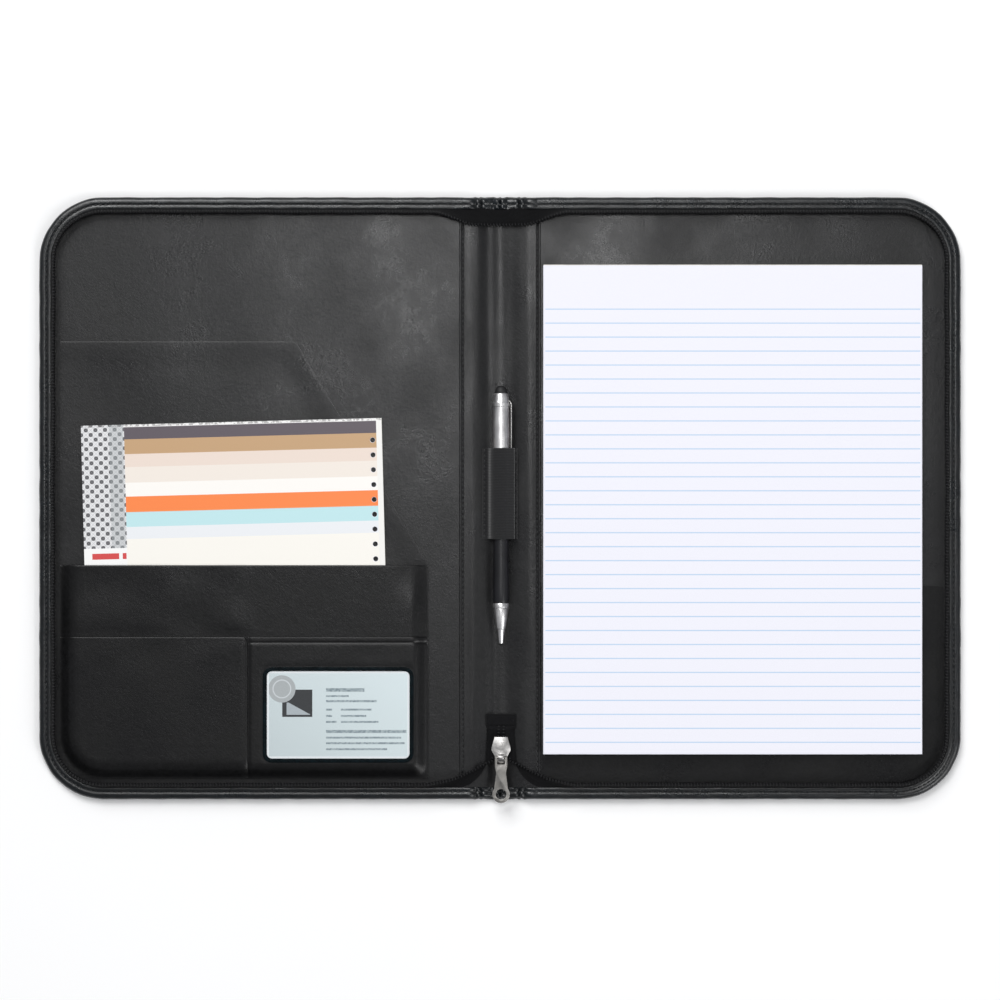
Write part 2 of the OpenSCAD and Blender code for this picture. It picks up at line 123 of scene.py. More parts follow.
class CaseSizes(bpy.types.PropertyGroup):
    """Sizes of the case's soft pieces."""

    corner_r: FloatProperty(
        name="Corner radius", description="Radius of the case's outer corners",
        default=0.037, unit="LENGTH")
    binding_w: FloatProperty(
        name="Binding width", description="Width of the edge binding on each face",
        default=0.007, unit="LENGTH")
    stitch_pitch: FloatProperty(
        name="Stitch pitch", description="Distance between stitches",
        default=0.003, unit="LENGTH")
    stitch_l: FloatProperty(
        name="Stitch length", description="Length of one stitch",
        default=0.0023, unit="LENGTH")
    tooth_pitch: FloatProperty(
        name="Tooth pitch", description="Distance between the turns of the zip's coil",
        default=0.0018, unit="LENGTH")
    slope_w: FloatProperty(
        name="Pocket slope", description="Length along X of the document pocket's slope",
        default=0.076, unit="LENGTH")
    arc_depth: FloatProperty(
        name="Arc depth", description="How far the slip pocket's mouth swings in",
        default=0.026, unit="LENGTH")
    arc_end: FloatProperty(
        name="Arc end", description="From the fore edge to the ends of the mouth",
        default=0.038, unit="LENGTH")
    rule_pitch: FloatProperty(
        name="Rule pitch", description="Distance between the ruled lines",
        default=0.00798, unit="LENGTH")
    first_rule: FloatProperty(
        name="First rule", description="From the pad's top edge to the first line",
        default=0.025, unit="LENGTH")
    leaves: IntProperty(
        name="Leaves", description="Number of leaves that the pad shows",
        default=26, min=2)
    seed: IntProperty(
        name="Seed", description="Seed of every small irregularity", default=11)


class CaseColours(bpy.types.PropertyGroup):
    """Colours of the case's finishes."""

    def colour(name, description, value):
        return FloatVectorProperty(
            name=name, description=description, subtype="COLOR", size=3,
            min=0, max=1, default=value)

    outer: colour("Outer leather", "Leatherette outside the covers", (0.0100, 0.0180, 0.0265))
    spine: colour("Spine leather", "Leatherette round the spine", (0.0016, 0.0054, 0.0074))
    lining: colour("Lining", "Leatherette inside the covers", (0.0062, 0.0062, 0.0067))
    binding: colour("Binding", "Vinyl folded round the edge", (0.0040, 0.0056, 0.0070))
    tape: colour("Zip tape", "Woven tape of the zip", (0.0025, 0.0025, 0.003))
    thread: colour("Thread", "Sewing thread", (0.0025, 0.003, 0.004))
    paper: colour("Paper", "The writing pad's paper", (0.835, 0.835, 0.905))
    rule: colour("Rules", "Lines printed on the pad", (0.42, 0.60, 0.80))
    card: colour("Card", "The business card's stock", (0.66, 0.75, 0.77))


def sizes():
    """The sizes, with lengths in millimetres."""
    group = bpy.context.scene.case_sizes
    values = {key: getattr(group, key) for key in CaseSizes.__annotations__}
    return {k: v / MM if isinstance(v, float) else v for k, v in values.items()}


# ---- Shapes ---------------------------------------------------------------


def smooth(t):
    """0 below 0, 1 above 1 and an easy rise between."""
    t = np.clip(t, 0, 1)
    return t * t * (3 - 2 * t)


def dip(distance, width):
    """A soft groove of depth 1 at distance 0."""
    return np.exp(-((distance / width) ** 2))


def rounded(d, r):
    """0 at an edge rising as a quarter circle to 1 at distance r."""
    return np.sqrt(1 - (1 - np.clip(d / r, 0, 1)) ** 2)


def waves(x, y, size, seed):
    """Soft random waves between about -1 and 1, the same on every run."""
    total = 0 * x
    for angle, length, phase in wave_set(size, seed):
        total = total + np.sin(
            2 * pi * (x * cos(angle) + y * sin(angle)) / length + phase)
    return total / 4


WAVE_SETS = {}


def wave_set(size, seed):
    """Angle, length and phase of seven random waves, drawn once for each size and seed."""
    if (size, seed) not in WAVE_SETS:
        rng = np.random.default_rng(seed + sizes()["seed"])
        WAVE_SETS[size, seed] = [
            (rng.uniform(0, 2 * pi), size * rng.uniform(0.6, 1.7), rng.uniform(0, 2 * pi))
            for _ in range(7)]
    return WAVE_SETS[size, seed]


def shown(name, data):
    """New object in the scene."""
    thing = bpy.data.objects.new(name, data)
    bpy.context.scene.collection.objects.link(thing)
    return thing


def made_real(guide, name):
    """The guide's mesh with its modifiers applied; the guide is removed."""
    graph = bpy.context.evaluated_depsgraph_get()
    mesh = bpy.data.meshes.new_from_object(guide.evaluated_get(graph))
    bpy.data.objects.remove(guide)
    mesh.name = name
    return mesh


def reshaped(mesh, change):
    """Runs a change on a mesh's bmesh and writes it back."""
    shell = bmesh.new()
    shell.from_mesh(mesh)
    change(shell)
    shell.to_mesh(mesh)
    shell.free()


def face_out(shell):
    """Turns every face outwards."""
    bmesh.ops.recalc_face_normals(shell, faces=shell.faces)


def mesh_piece(name, verts, faces, crease=38):
    """A closed mesh from points in millimetres, facing outwards."""
    mesh = bpy.data.meshes.new(name)
    mesh.from_pydata((np.asarray(verts, float) * MM).tolist(), [], faces)
    reshaped(mesh, face_out)
    mesh.shade_smooth()
    mesh.set_sharp_from_angle(angle=radians(crease))
    return shown(name, mesh)


def spread(start, end, step=4.0, near=(0, 0.12, 0.35, 0.7, 1.2, 2.2), lines=()):
    """Places from start to end, close together at both ends and beside the lines."""
    near = [n for n in near if n < (end - start) / 2]
    count = max(2, int((end - start) / step) + 1)
    places = [start + n for n in near] + [end - n for n in near]
    places += list(np.linspace(start + near[-1], end - near[-1], count))
    for line in lines:
        places += [line + n for n in (-1.3, -0.8, -0.45, -0.2, 0, 0.2, 0.45, 0.8, 1.3)]
    places = np.unique(np.round([p for p in places if start <= p <= end], 3))
    keep = [places[0]]
    for p in places[1:]:
        if p - keep[-1] > 0.09:
            keep.append(p)
    keep[-1] = end
    return np.array(keep)


def grid(rows, left, right, columns):
    """Points on rows of constant y, between left(y) and right(y)."""
    share = (columns - columns[0]) / (columns[-1] - columns[0])
    return np.array([
        [(left(y) + (right(y) - left(y)) * s, y) for s in share] for y in rows])


def level(z):
    """Flat face at a height, for slab()."""
    return lambda x, y: z


def slab(name, places, top, bottom, ring=False):
    """Closed sheet on a grid of (x, y) places. Heights come from two functions of x and y."""
    n, m = places.shape[:2]
    x, y = places[..., 0], places[..., 1]
    upper, lower = top(x, y) + 0 * x, bottom(x, y) + 0 * x
    verts = np.concatenate([
        np.dstack([x, y, upper]).reshape(-1, 3), np.dstack([x, y, lower]).reshape(-1, 3)])
    below = n * m
    faces = []
    for i in range(n - 1):
        for j in range(m if ring else m - 1):
            k = (j + 1) % m
            a, b, c, d = i * m + j, i * m + k, (i + 1) * m + k, (i + 1) * m + j
            faces += [(a, b, c, d), (a + below, d + below, c + below, b + below)]
    if ring:
        borders = [list(range(m)), list(range((n - 1) * m, n * m))[::-1]]
    else:
        borders = [
            list(range(m)) + [i * m + m - 1 for i in range(1, n)]
            + [(n - 1) * m + j for j in range(m - 2, -1, -1)]
            + [i * m for i in range(n - 2, 0, -1)]]
    for border in borders:
        for a, b in zip(border, border[1:] + border[:1]):
            faces.append((a, a + below, b + below, b))
    return mesh_piece(name, verts, faces)


def loft(name, rings, wrap=False, crease=38):
    """Closed skin through rings of points. The ends are capped, or joined with wrap."""
    rings = np.asarray(rings, float)
    n, k = rings.shape[:2]
    faces = []
    for i in range(n if wrap else n - 1):
        for j in range(k):
            a, b = i * k + j, i * k + (j + 1) % k
            c, d = (i + 1) % n * k + (j + 1) % k, (i + 1) % n * k + j
            faces.append((a, b, c, d))
    if not wrap:
        faces += [tuple(range(k)), tuple(range((n - 1) * k, n * k))[::-1]]
    return mesh_piece(name, rings.reshape(-1, 3), faces, crease)


def lathe(name, profile, wrap=False):
    """Turned piece on the pen's axis, from (y, radius) points."""
    angles = np.linspace(0, 2 * pi, 48, endpoint=False)
    rings = [
        [(PEN_X + r * cos(a), y, PEN_Z + r * sin(a)) for a in angles] for y, r in profile]
    return loft(name, rings, wrap, 30)


def rail(points, count):
    """Smooth curve through control points (Catmull-Rom), as an array of points."""
    p = np.asarray(points, float)
    p = np.vstack([2 * p[0] - p[1], p, 2 * p[-1] - p[-2]])
    spans = len(p) - 3
    out = []
    for t in np.linspace(0, spans, count):
        i = min(int(t), spans - 1)
        u = t - i
        a, b, c, d = p[i], p[i + 1], p[i + 2], p[i + 3]
        out.append(0.5 * (
            2 * b + (c - a) * u + (2 * a - 5 * b + 4 * c - d) * u ** 2
            + (3 * b - a - 3 * c + d) * u ** 3))
    return np.array(out)


def ribbon(name, foot, head, thickness, bulge=0.0, across=6):
    """Band of an even thickness between two rails."""
    along = np.gradient((foot + head) / 2, axis=0)
    width = head - foot
    normal = np.cross(along, width)
    normal /= np.linalg.norm(normal, axis=1, keepdims=True)
    rings = []
    for f, w, n in zip(foot, width, normal):
        face = [
            f + w * t + n * bulge * sin(pi * t) for t in np.linspace(0, 1, across)]
        rings.append(
            [p + n * thickness / 2 for p in face] + [p - n * thickness / 2 for p in face[::-1]])
    return loft(name, rings)


def edge_point(s):
    """Place and inward normal at a distance s round a cover's edge, from x = 0 at the top."""
    r = sizes()["corner_r"]
    flat, side, bend = HALF_W - r, 2 * (HALF_H - r), pi * r / 2
    marks = np.cumsum([flat, bend, side, bend, flat])
    if s <= marks[0]:
        return s, HALF_H, 0, -1
    if s <= marks[1]:
        a = (s - marks[0]) / r
        return flat + r * sin(a), HALF_H - r + r * cos(a), -sin(a), -cos(a)
    if s <= marks[2]:
        return HALF_W, HALF_H - r - (s - marks[1]), -1, 0
    if s <= marks[3]:
        a = (s - marks[2]) / r
        return flat + r * cos(a), r - HALF_H - r * sin(a), -cos(a), sin(a)
    return flat - (s - marks[3]), -HALF_H, 0, 1


def edge_length():
    """Length of a cover's edge, from x = 0 round to x = 0."""
    r = sizes()["corner_r"]
    return 2 * (HALF_W - r) + 2 * (HALF_H - r) + pi * r


def edge_stations(step=2.2, fine=0.45, reach=24):
    """Distances round the edge, closer together across the spine."""
    total = edge_length()
    near = np.arange(0, reach, fine)
    far = np.linspace(reach, total - reach, int((total - 2 * reach) / step))
    return np.concatenate([near, far, total - near[::-1]])


def inside(x, y):
    """Distance in from the case's outline, for places at x > 0."""
    r = sizes()["corner_r"]
    qx, qy = np.abs(x) - (HALF_W - r), np.abs(y) - (HALF_H - r)
    corner = np.hypot(np.maximum(qx, 0), np.maximum(qy, 0))
    return r - corner - np.minimum(np.maximum(qx, qy), 0)


def far_side(inset):
    """x of the outline at an inset, as a function of y."""
    r = sizes()["corner_r"]

    def find(y):
        over = max(0.0, abs(y) - (HALF_H - r))
        return HALF_W - r + max((r - inset) ** 2 - over ** 2, 0) ** 0.5
    return find


def turned(piece, side):
    """Mirrors a piece made for the back cover over to the front one when side is -1."""
    def mirror(shell):
        for v in shell.verts:
            v.co.x = -v.co.x
        bmesh.ops.reverse_faces(shell, faces=shell.faces)

    if side < 0:
        reshaped(piece.data, mirror)
    return piece


def cover_word(side):
    """The cover's word in names: back for side 1, front for side -1."""
    return "back" if side > 0 else "front"


def cover_side(side):
    """The cover's body in the frame."""
    return cover_word(side) + "_cover"


def across_fold(piece):
    """Bakes a piece's transform into its mesh."""
    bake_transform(piece)
    return piece


def finished(piece, material):
    """Gives a piece one finish."""
    piece.data.materials.clear()
    piece.data.materials.append(finish(material))
    return piece


# ---- Beads along a line: stitches and zip coil, by geometry nodes -----------


def bead_tree():
    """Node tree that sets smooth beads at an even pitch along the object's edges."""
    tree = bpy.data.node_groups.get("beads_on_line")
    if tree:
        return tree
    tree = bpy.data.node_groups.new("beads_on_line", "GeometryNodeTree")
    face = tree.interface
    face.new_socket("Geometry", in_out="INPUT", socket_type="NodeSocketGeometry")
    for name in ("Pitch", "Length", "Width", "Height"):
        face.new_socket(name, in_out="INPUT", socket_type="NodeSocketFloat")
    face.new_socket("Material", in_out="INPUT", socket_type="NodeSocketMaterial")
    face.new_socket("Geometry", in_out="OUTPUT", socket_type="NodeSocketGeometry")

    def add(kind, **settings):
        node = tree.nodes.new(kind)
        for key, value in settings.items():
            setattr(node, key, value)
        return node

    start, end = add("NodeGroupInput"), add("NodeGroupOutput")
    curve = add("GeometryNodeMeshToCurve")
    even = add("GeometryNodeResampleCurve", mode="LENGTH")
    tangent = add("GeometryNodeInputTangent")
    align = add("FunctionNodeAlignRotationToVector", axis="X")
    bead = add("GeometryNodeMeshUVSphere")
    bead.inputs["Segments"].default_value = 8
    bead.inputs["Rings"].default_value = 5
    bead.inputs["Radius"].default_value = 0.5
    shape = add("ShaderNodeCombineXYZ")
    scaled = add("GeometryNodeTransform")
    place = add("GeometryNodeInstanceOnPoints")
    real = add("GeometryNodeRealizeInstances")
    soft = add("GeometryNodeSetShadeSmooth")
    paint = add("GeometryNodeSetMaterial")
    for a, b in (
        (start.outputs["Geometry"], curve.inputs[0]),
        (curve.outputs[0], even.inputs["Curve"]),
        (start.outputs["Pitch"], even.inputs["Length"]),
        (even.outputs[0], place.inputs["Points"]),
        (tangent.outputs[0], align.inputs["Vector"]),
        (align.outputs[0], place.inputs["Rotation"]),
        (start.outputs["Length"], shape.inputs[0]),
        (start.outputs["Width"], shape.inputs[1]),
        (start.outputs["Height"], shape.inputs[2]),
        (bead.outputs[0], scaled.inputs["Geometry"]),
        (shape.outputs[0], scaled.inputs["Scale"]),
        (scaled.outputs[0], place.inputs["Instance"]),
        (place.outputs[0], real.inputs[0]),
        (real.outputs[0], soft.inputs[0]),
        (soft.outputs[0], paint.inputs["Geometry"]),
        (start.outputs["Material"], paint.inputs["Material"]),
        (paint.outputs[0], end.inputs[0]),
    ):
        tree.links.new(a, b)
    return tree


def beads(name, lines, pitch, size, material):
    """Mesh of beads along lines of points in millimetres; size is length, width, height."""
    verts, edges = [], []
    for line in lines:
        first = len(verts)
        verts += [tuple(np.asarray(p) * MM) for p in line]
        edges += [(i, i + 1) for i in range(first, len(verts) - 1)]
    mesh = bpy.data.meshes.new(name + "_line")
    mesh.from_pydata(verts, edges, [])
    guide = shown(name + "_line", mesh)
    tree = bead_tree()
    values = dict(zip(("Pitch", "Length", "Width", "Height"), [pitch, *size]))
    modifier = guide.modifiers.new("beads", "NODES")
    modifier.node_group = tree
    for item in tree.interface.items_tree:
        if item.in_out == "INPUT" and item.name in values:
            modifier[item.identifier] = values[item.name] * MM
        elif item.in_out == "INPUT" and item.name == "Material":
            modifier[item.identifier] = material
    piece = shown(name, made_real(guide, name))
    return piece


STITCH_W, STITCH_H = 0.9, 0.7


def stitches(name, lines):
    """Rows of sewing stitches along lines."""
    s = sizes()
    return beads(name, lines, s["stitch_pitch"], (s["stitch_l"], STITCH_W, STITCH_H),
                 finish("thread"))


# ---- Finishes ---------------------------------------------------------------


class Finish:
    """A material with short ways to add nodes to it."""

    def __init__(self, name, **constants):
        self.material = bpy.data.materials.new(name)
        self.material.use_nodes = True
        self.tree = self.material.node_tree
        self.shader = self.tree.nodes["Principled BSDF"]
        self.set(**constants)

    def feed(self, socket, value):
        """Links an output to a socket, or sets the socket to a number or a colour."""
        if isinstance(value, bpy.types.NodeSocket):
            self.tree.links.new(value, socket)
        elif socket.type == "RGBA":
            socket.default_value = (*value, 1.0)
        else:
            socket.default_value = value

    def set(self, **inputs):
        for key, value in inputs.items():
            self.feed(self.shader.inputs[key.replace("_", " ")], value)

    def add(self, kind, output=0, settings=None, **inputs):
        node = self.tree.nodes.new("ShaderNode" + kind)
        for key, value in (settings or {}).items():
            setattr(node, key, value)
        for key, value in inputs.items():
            key = key.replace("_", " ")
            self.feed(node.inputs[int(key[1:]) if key[1:].isdigit() else key], value)
        return node.outputs[output]

    def place(self, at=(0, 0, 0), turn=0.0, stretch=(1, 1, 1)):
        """Object coordinates in metres, measured from a place given in millimetres."""
        here = self.add("TexCoord", "Object")
        here = self.add("VectorMath", 0, {"operation": "SUBTRACT"}, i0=here,
                        i1=[c * MM for c in at])
        if turn or stretch != (1, 1, 1):
            here = self.add("Mapping", Vector=here, Rotation=(0, 0, turn), Scale=stretch)
        return here

    def split(self, where):
        """The x, y and z of a place."""
        parts = self.tree.nodes.new("ShaderNodeSeparateXYZ")
        self.tree.links.new(where, parts.inputs[0])
        return tuple(parts.outputs)

    def noise(self, where, size, detail=3.0, rough=0.5, twist=0.0):
        return self.add("TexNoise", "Fac", Vector=where, Scale=1 / (size * MM), Detail=detail,
                        Roughness=rough, Distortion=twist)

    def cells(self, where, size):
        return self.add("TexVoronoi", "Distance", {"feature": "SMOOTH_F1"}, Vector=where,
                        Scale=1 / (size * MM), Randomness=1.0)

    def math(self, operation, a, b=0.0, c=0.0):
        return self.add("Math", 0, {"operation": operation}, i0=a, i1=b, i2=c)

    def times(self, a, b):
        return self.math("MULTIPLY", a, b)

    def plus(self, a, b):
        return self.math("ADD", a, b)

    def minus(self, a, b):
        return self.math("SUBTRACT", a, b)

    def wave(self, value, length):
        """Sine of a coordinate, with its wavelength in millimetres."""
        return self.math("SINE", self.times(value, 2 * pi / (length * MM)))

    def remap(self, value, low_in, high_in, low_out, high_out):
        return self.add("MapRange", 0, None, Value=value, From_Min=low_in, From_Max=high_in,
                        To_Min=low_out, To_Max=high_out)

    def mix(self, share, a, b):
        return self.add("Mix", 2, {"data_type": "RGBA"}, i0=share, i6=a, i7=b)

    def cloudy(self, value, a, b):
        """Colours a and b mixed by a noise."""
        return self.mix(self.remap(value, 0.35, 0.65, 0, 1), a, b)

    def band(self, value, start, end):
        """1 between start and end, 0 outside."""
        return self.math(
            "MULTIPLY", self.math("GREATER_THAN", value, start),
            self.math("LESS_THAN", value, end))

    def bump(self, height, depth, strength=1.0, under=None):
        inputs = {"Height": height, "Distance": depth * MM, "Strength": strength}
        if under is not None:
            inputs["Normal"] = under
        return self.add("Bump", **inputs)


FINISHES = {}


def finish(name):
    """A finish by its name."""
    return FINISHES[name]


def shade(colour, factor):
    """A colour made darker or lighter."""
    return tuple(min(1.0, c * factor) for c in colour)


def leather(name, colour, grain=1.3, depth=0.16, rough=(0.46, 0.62), cloud=60,
            contrast=(0.75, 1.35), crackle=0.0, speckle=0.25, gloss=0.5, relief=0.1):
    """Leatherette: pebbled grain, fine creases and a cloudy, uneven sheen, from the roughness and
    also painted into the colour as light and dark clouds; the grain's hollows and the creases are
    darkened with painted shade.
    """
    f = Finish(name, Specular_IOR_Level=gloss)
    here = f.place()
    twisted = f.add("VectorMath", 0, {"operation": "ADD"}, i0=here, i1=f.add(
        "VectorMath", 0, {"operation": "SCALE"},
        i0=f.add("TexNoise", "Color", Vector=here, Scale=500.0, Detail=2.0), Scale=0.0006))
    pebble = f.cells(twisted, grain)
    fine = f.noise(here, 0.5, 4)
    sheen_clouds = f.noise(here, cloud, 4, 0.6)
    mottle = f.noise(here, 3.2, 3)
    specks = f.noise(twisted, 1.9, 5, 0.7)
    creases = f.noise(twisted, 7, 5, 0.65, 1.2)
    # Random mottle, and broad clouds of painted sheen: the colour itself goes lighter and darker
    # in patches, as a cloudy sheen would look
    tone_and_painted_light = f.plus(f.times(sheen_clouds, 0.7), f.times(mottle, 0.3))
    base = f.cloudy(tone_and_painted_light, shade(colour, contrast[0]), shade(colour, contrast[1]))
    # Painted shade: the grain's hollows, where the height is lowest, are darkened
    base = f.mix(f.remap(pebble, 0.45, 0.8, 0, 0.6), base, shade(colour, 0.35))
    base = f.mix(f.remap(specks, 0.52, 0.72, 0, speckle), base, shade(colour, 3.4))
    base = f.mix(f.remap(specks, 0.50, 0.32, 0, speckle), base, shade(colour, 0.3))
    height = f.minus(f.times(fine, 0.35), pebble)
    if crackle:
        lines = f.math("ABSOLUTE", f.minus(creases, 0.5))
        lines = f.remap(lines, 0.0, 0.06, 0, 1)
        height = f.plus(height, f.times(lines, crackle))
        # Painted shade: the crease lines, which the height sinks along, are darkened
        base = f.mix(lines, shade(colour, 0.5), base)
    rough_out = f.remap(
        f.plus(f.times(sheen_clouds, 0.75), f.times(fine, 0.25)),
        0.35, 0.65, rough[1], rough[0])
    long_waves = f.bump(creases, relief)
    f.set(Base_Color=base, Roughness=rough_out, Normal=f.bump(height, depth, 1, long_waves))
    return f.material


def woven(name, colour, pitch=0.55, rough=0.8, sheen=0.04, turn=0.0):
    """Woven tape: two crossing sets of threads."""
    f = Finish(name, Sheen_Weight=sheen, Sheen_Roughness=0.5, Specular_IOR_Level=0.15)
    here = f.place(turn=turn)
    warp, weft, rise = (f.wave(axis, pitch) for axis in f.split(here))
    height = f.plus(f.times(warp, weft), f.times(rise, 0.5))
    fuzz = f.noise(here, 0.25, 3)
    # Painted shade and highlight: the colour follows the weave's height, darker in its hollows
    # and lighter on its crowns
    tone_and_painted_light = f.mix(f.remap(height, -1, 1, 0, 1), shade(colour, 0.6), shade(colour, 1.7))
    tone_and_painted_light = f.mix(f.remap(f.noise(here, 9, 3), 0.35, 0.65, 0, 0.5), tone_and_painted_light, shade(colour, 1.5))
    f.set(Base_Color=tone_and_painted_light, Roughness=f.remap(fuzz, 0.3, 0.7, rough - 0.08, rough + 0.1),
          Normal=f.bump(f.plus(height, fuzz), 0.08))
    return f.material


def ribbed(name, colour, pitch=0.9):
    """Elastic webbing: fine ribs side by side along the pen."""
    f = Finish(name, Sheen_Weight=0.35, Sheen_Roughness=0.45, Specular_IOR_Level=0.3)
    here = f.place()
    x, y, _ = f.split(here)
    ribs, knit = f.wave(y, pitch), f.wave(x, 0.5)
    fuzz = f.noise(here, 0.3, 3)
    height = f.plus(ribs, f.times(knit, 0.35))
    # Painted shade and highlight: the colour follows the ribs, darker in their hollows and
    # lighter on their crowns
    tone_and_painted_light = f.mix(f.remap(ribs, -1, 1, 0, 1), shade(colour, 0.6), shade(colour, 1.6))
    f.set(Base_Color=f.mix(f.remap(fuzz, 0.3, 0.7, 0, 0.35), tone_and_painted_light, shade(colour, 2)),
          Roughness=f.remap(fuzz, 0.3, 0.7, 0.62, 0.8), Normal=f.bump(height, 0.1))
    return f.material


def metal(name, colour, rough, brushed=(1, 1, 1), wear=0.35):
    """Plated metal with faint handling marks."""
    f = Finish(name, Metallic=1.0)
    here = f.place(stretch=brushed)
    marks = f.noise(here, 0.8, 4, 0.6)
    smudge = f.noise(f.place(), 6, 3)
    f.set(Base_Color=f.cloudy(smudge, shade(colour, 1 - wear / 2), shade(colour, 1.05)),
          Roughness=f.remap(marks, 0.3, 0.7, rough * 0.75, rough * 1.35),
          Normal=f.bump(marks, 0.01, 0.5))
    return f.material


def plain(name, colour, rough, grain=0.6, depth=0.02, swing=0.18, patch=8, **constants):
    """Plain stuff with a fine grain and slightly uneven colour."""
    f = Finish(name, **constants)
    here = f.place()
    fine, broad = f.noise(here, grain, 4), f.noise(here, patch, 3)
    f.set(Base_Color=f.cloudy(broad, shade(colour, 1 - swing), shade(colour, 1 + swing)),
          Roughness=f.remap(fine, 0.3, 0.7, rough * 0.85, min(1.0, rough * 1.12)),
          Normal=f.bump(fine, depth))
    return f.material


def plain_paper(name, colour, stacked=True):
    """Paper; the sides of stacked leaves show fine lines of painted shade between the leaves.
    Gives its parts for printing.
    """
    f = Finish(name, Specular_IOR_Level=0.25)
    here = f.place()
    fibre = f.noise(here, 0.35, 4)
    base = f.cloudy(fibre, shade(colour, 0.97), shade(colour, 1.02))
    if stacked:
        # Painted shade: fine dark lines by height along the sides, for the gaps between the
        # leaves
        edges = f.remap(f.wave(f.split(here)[2], 0.2), -1, 1, 0.0, 0.1)
        base = f.mix(edges, base, shade(colour, 0.5))
    f.set(Base_Color=base, Roughness=f.remap(fibre, 0.3, 0.7, 0.6, 0.8),
          Normal=f.bump(fibre, 0.015))
    return f, base, fibre


def ruled_paper(name, colour, rule):
    """The pad's top leaf, with rules from a margin at the top down to the foot."""
    s = sizes()
    f, base, fibre = plain_paper(name, colour, stacked=False)
    x, y, _ = f.split(f.place())
    start, pitch = (high("pad_sheets", Y) - s["first_rule"]) * MM, s["rule_pitch"] * MM
    below = f.math("DIVIDE", f.minus(start, y), pitch)
    off = f.math("ABSOLUTE", f.minus(below, f.math("ROUND", below)))
    line = f.times(f.remap(off, 0.024, 0.05, 1, 0),
                  f.math("GREATER_THAN", below, -0.5))
    inner = f.band(x, (low("pad_sheets", X) + 0.9) * MM, (high("pad_sheets", X) - 0.9) * MM)
    above_foot = f.math("GREATER_THAN", y, (low("pad_sheets", Y) + 1.2) * MM)
    line = f.times(line, f.times(inner, above_foot))
    faded = f.times(line, f.remap(fibre, 0.3, 0.7, 0.75, 1.0))
    f.set(Base_Color=f.mix(faded, base, rule))
    return f.material


def make_finishes():
    """Every finish by name, in the colours of the panel."""
    c = bpy.context.scene.case_colours
    lining, outer = tuple(c.lining), tuple(c.outer)
    FINISHES.update(
        outer=leather("outer_leather", outer, grain=1.05, depth=0.06, cloud=65,
                      rough=(0.34, 0.5), contrast=(0.68, 1.36), gloss=0.2, speckle=0.6),
        fore=leather("fore_leather", shade(outer, 1.5), grain=1.05, depth=0.06, cloud=45,
                     rough=(0.34, 0.5), contrast=(0.75, 1.32), gloss=0.26, speckle=0.6),
        spine=leather("spine_leather", tuple(c.spine), grain=1.5, depth=0.14, cloud=25,
                      rough=(0.36, 0.55), contrast=(0.5, 1.7), crackle=0.6, gloss=0.07,
                      speckle=0.2, relief=0.25),
        lining=leather("lining_leather", lining, grain=1.1, depth=0.035, cloud=42,
                       rough=(0.24, 0.40), contrast=(0.5, 1.9), gloss=0.42, relief=0.08),
        # Painted shade: the pockets and the pad's slot use the lining's leatherette at 0.65 of
        # its colour, darker to stand for the dimmer light on them
        pocket=leather("pocket_leather", shade(lining, 0.65), grain=1.1, depth=0.035,
                       cloud=40, rough=(0.25, 0.40), contrast=(0.5, 1.9), gloss=0.30,
                       relief=0.08),
        binding=leather("binding_vinyl", tuple(c.binding), grain=0.9, depth=0.05, cloud=14,
                        rough=(0.24, 0.38), contrast=(0.6, 1.8), crackle=0.2, gloss=0.55,
                        relief=0.15),
        tape=woven("zip_tape", tuple(c.tape)),
        tab=woven("tab_tape", shade(tuple(c.tape), 1.3), pitch=0.7),
        coil=plain("coil_nylon", (0.004, 0.004, 0.005), 0.5, 0.3, 0.01, Specular_IOR_Level=0.3),
        thread=plain("thread", tuple(c.thread), 0.55, 0.2, 0.03, Sheen_Weight=0.3),
        elastic=ribbed("elastic", (0.007, 0.007, 0.008)),
        nickel=metal("nickel", (0.48, 0.47, 0.46), 0.36),
        pull=metal("satin_nickel", (0.30, 0.29, 0.275), 0.42),
        pen_metal=metal("pen_metal", (0.92, 0.91, 0.91), 0.35, (1, 0.05, 1)),
        pen_grip=plain("pen_grip", (0.008, 0.008, 0.010), 0.36, 0.5, 0.012),
        rubber=plain("stylus_rubber", (0.010, 0.010, 0.011), 0.62, 0.3, 0.02),
        refill=metal("refill_metal", (0.5, 0.5, 0.52), 0.35),
        board=plain("board", (0.018, 0.018, 0.020), 0.85, 0.8, 0.05, 0.25),
        backing=plain("backing_card", (0.30, 0.26, 0.19), 0.8, 0.7, 0.04, 0.2),
        glue=plain("pad_glue", (0.72, 0.70, 0.64), 0.5, 0.4, 0.05, 0.1),
        paper=ruled_paper("ruled_paper", tuple(c.paper), tuple(c.rule)),
        leaves=plain_paper("plain_paper", tuple(c.paper))[0].material,
        notebook=notebook_print(), card=card_print(tuple(c.card)), film=clear_film(),
        floor=floor_finish())


NOTEBOOK_TURN, NOTEBOOK_W, NOTEBOOK_H = 1.5, 172.0, 127.0
STRIPES = (  # from the top edge down: where each stripe ends, in millimetres, and its colour
    (1.2, (0.86, 0.85, 0.84)), (8.0, (0.100, 0.082, 0.098)), (16.7, (0.520, 0.330, 0.175)),
    (24.0, (0.790, 0.670, 0.590)), (33.0, (0.830, 0.760, 0.690)), (41.0, (0.905, 0.880, 0.840)),
    (49.8, (0.910, 0.230, 0.055)), (58.4, (0.500, 0.745, 0.775)), (65.0, (0.785, 0.805, 0.830)),
    (127.0, (0.885, 0.860, 0.800)))


def notebook_frame(f):
    """Distances right from the notebook's left edge and down from its top, in millimetres."""
    cx, cy = middle("notebook_cover", X), middle("notebook_cover", Y)
    x, y, _ = f.split(f.place((cx, cy, 0), turn=radians(-NOTEBOOK_TURN)))
    return (f.math("MULTIPLY_ADD", x, 1 / MM, NOTEBOOK_W / 2),
            f.math("MULTIPLY_ADD", y, -1 / MM, NOTEBOOK_H / 2))


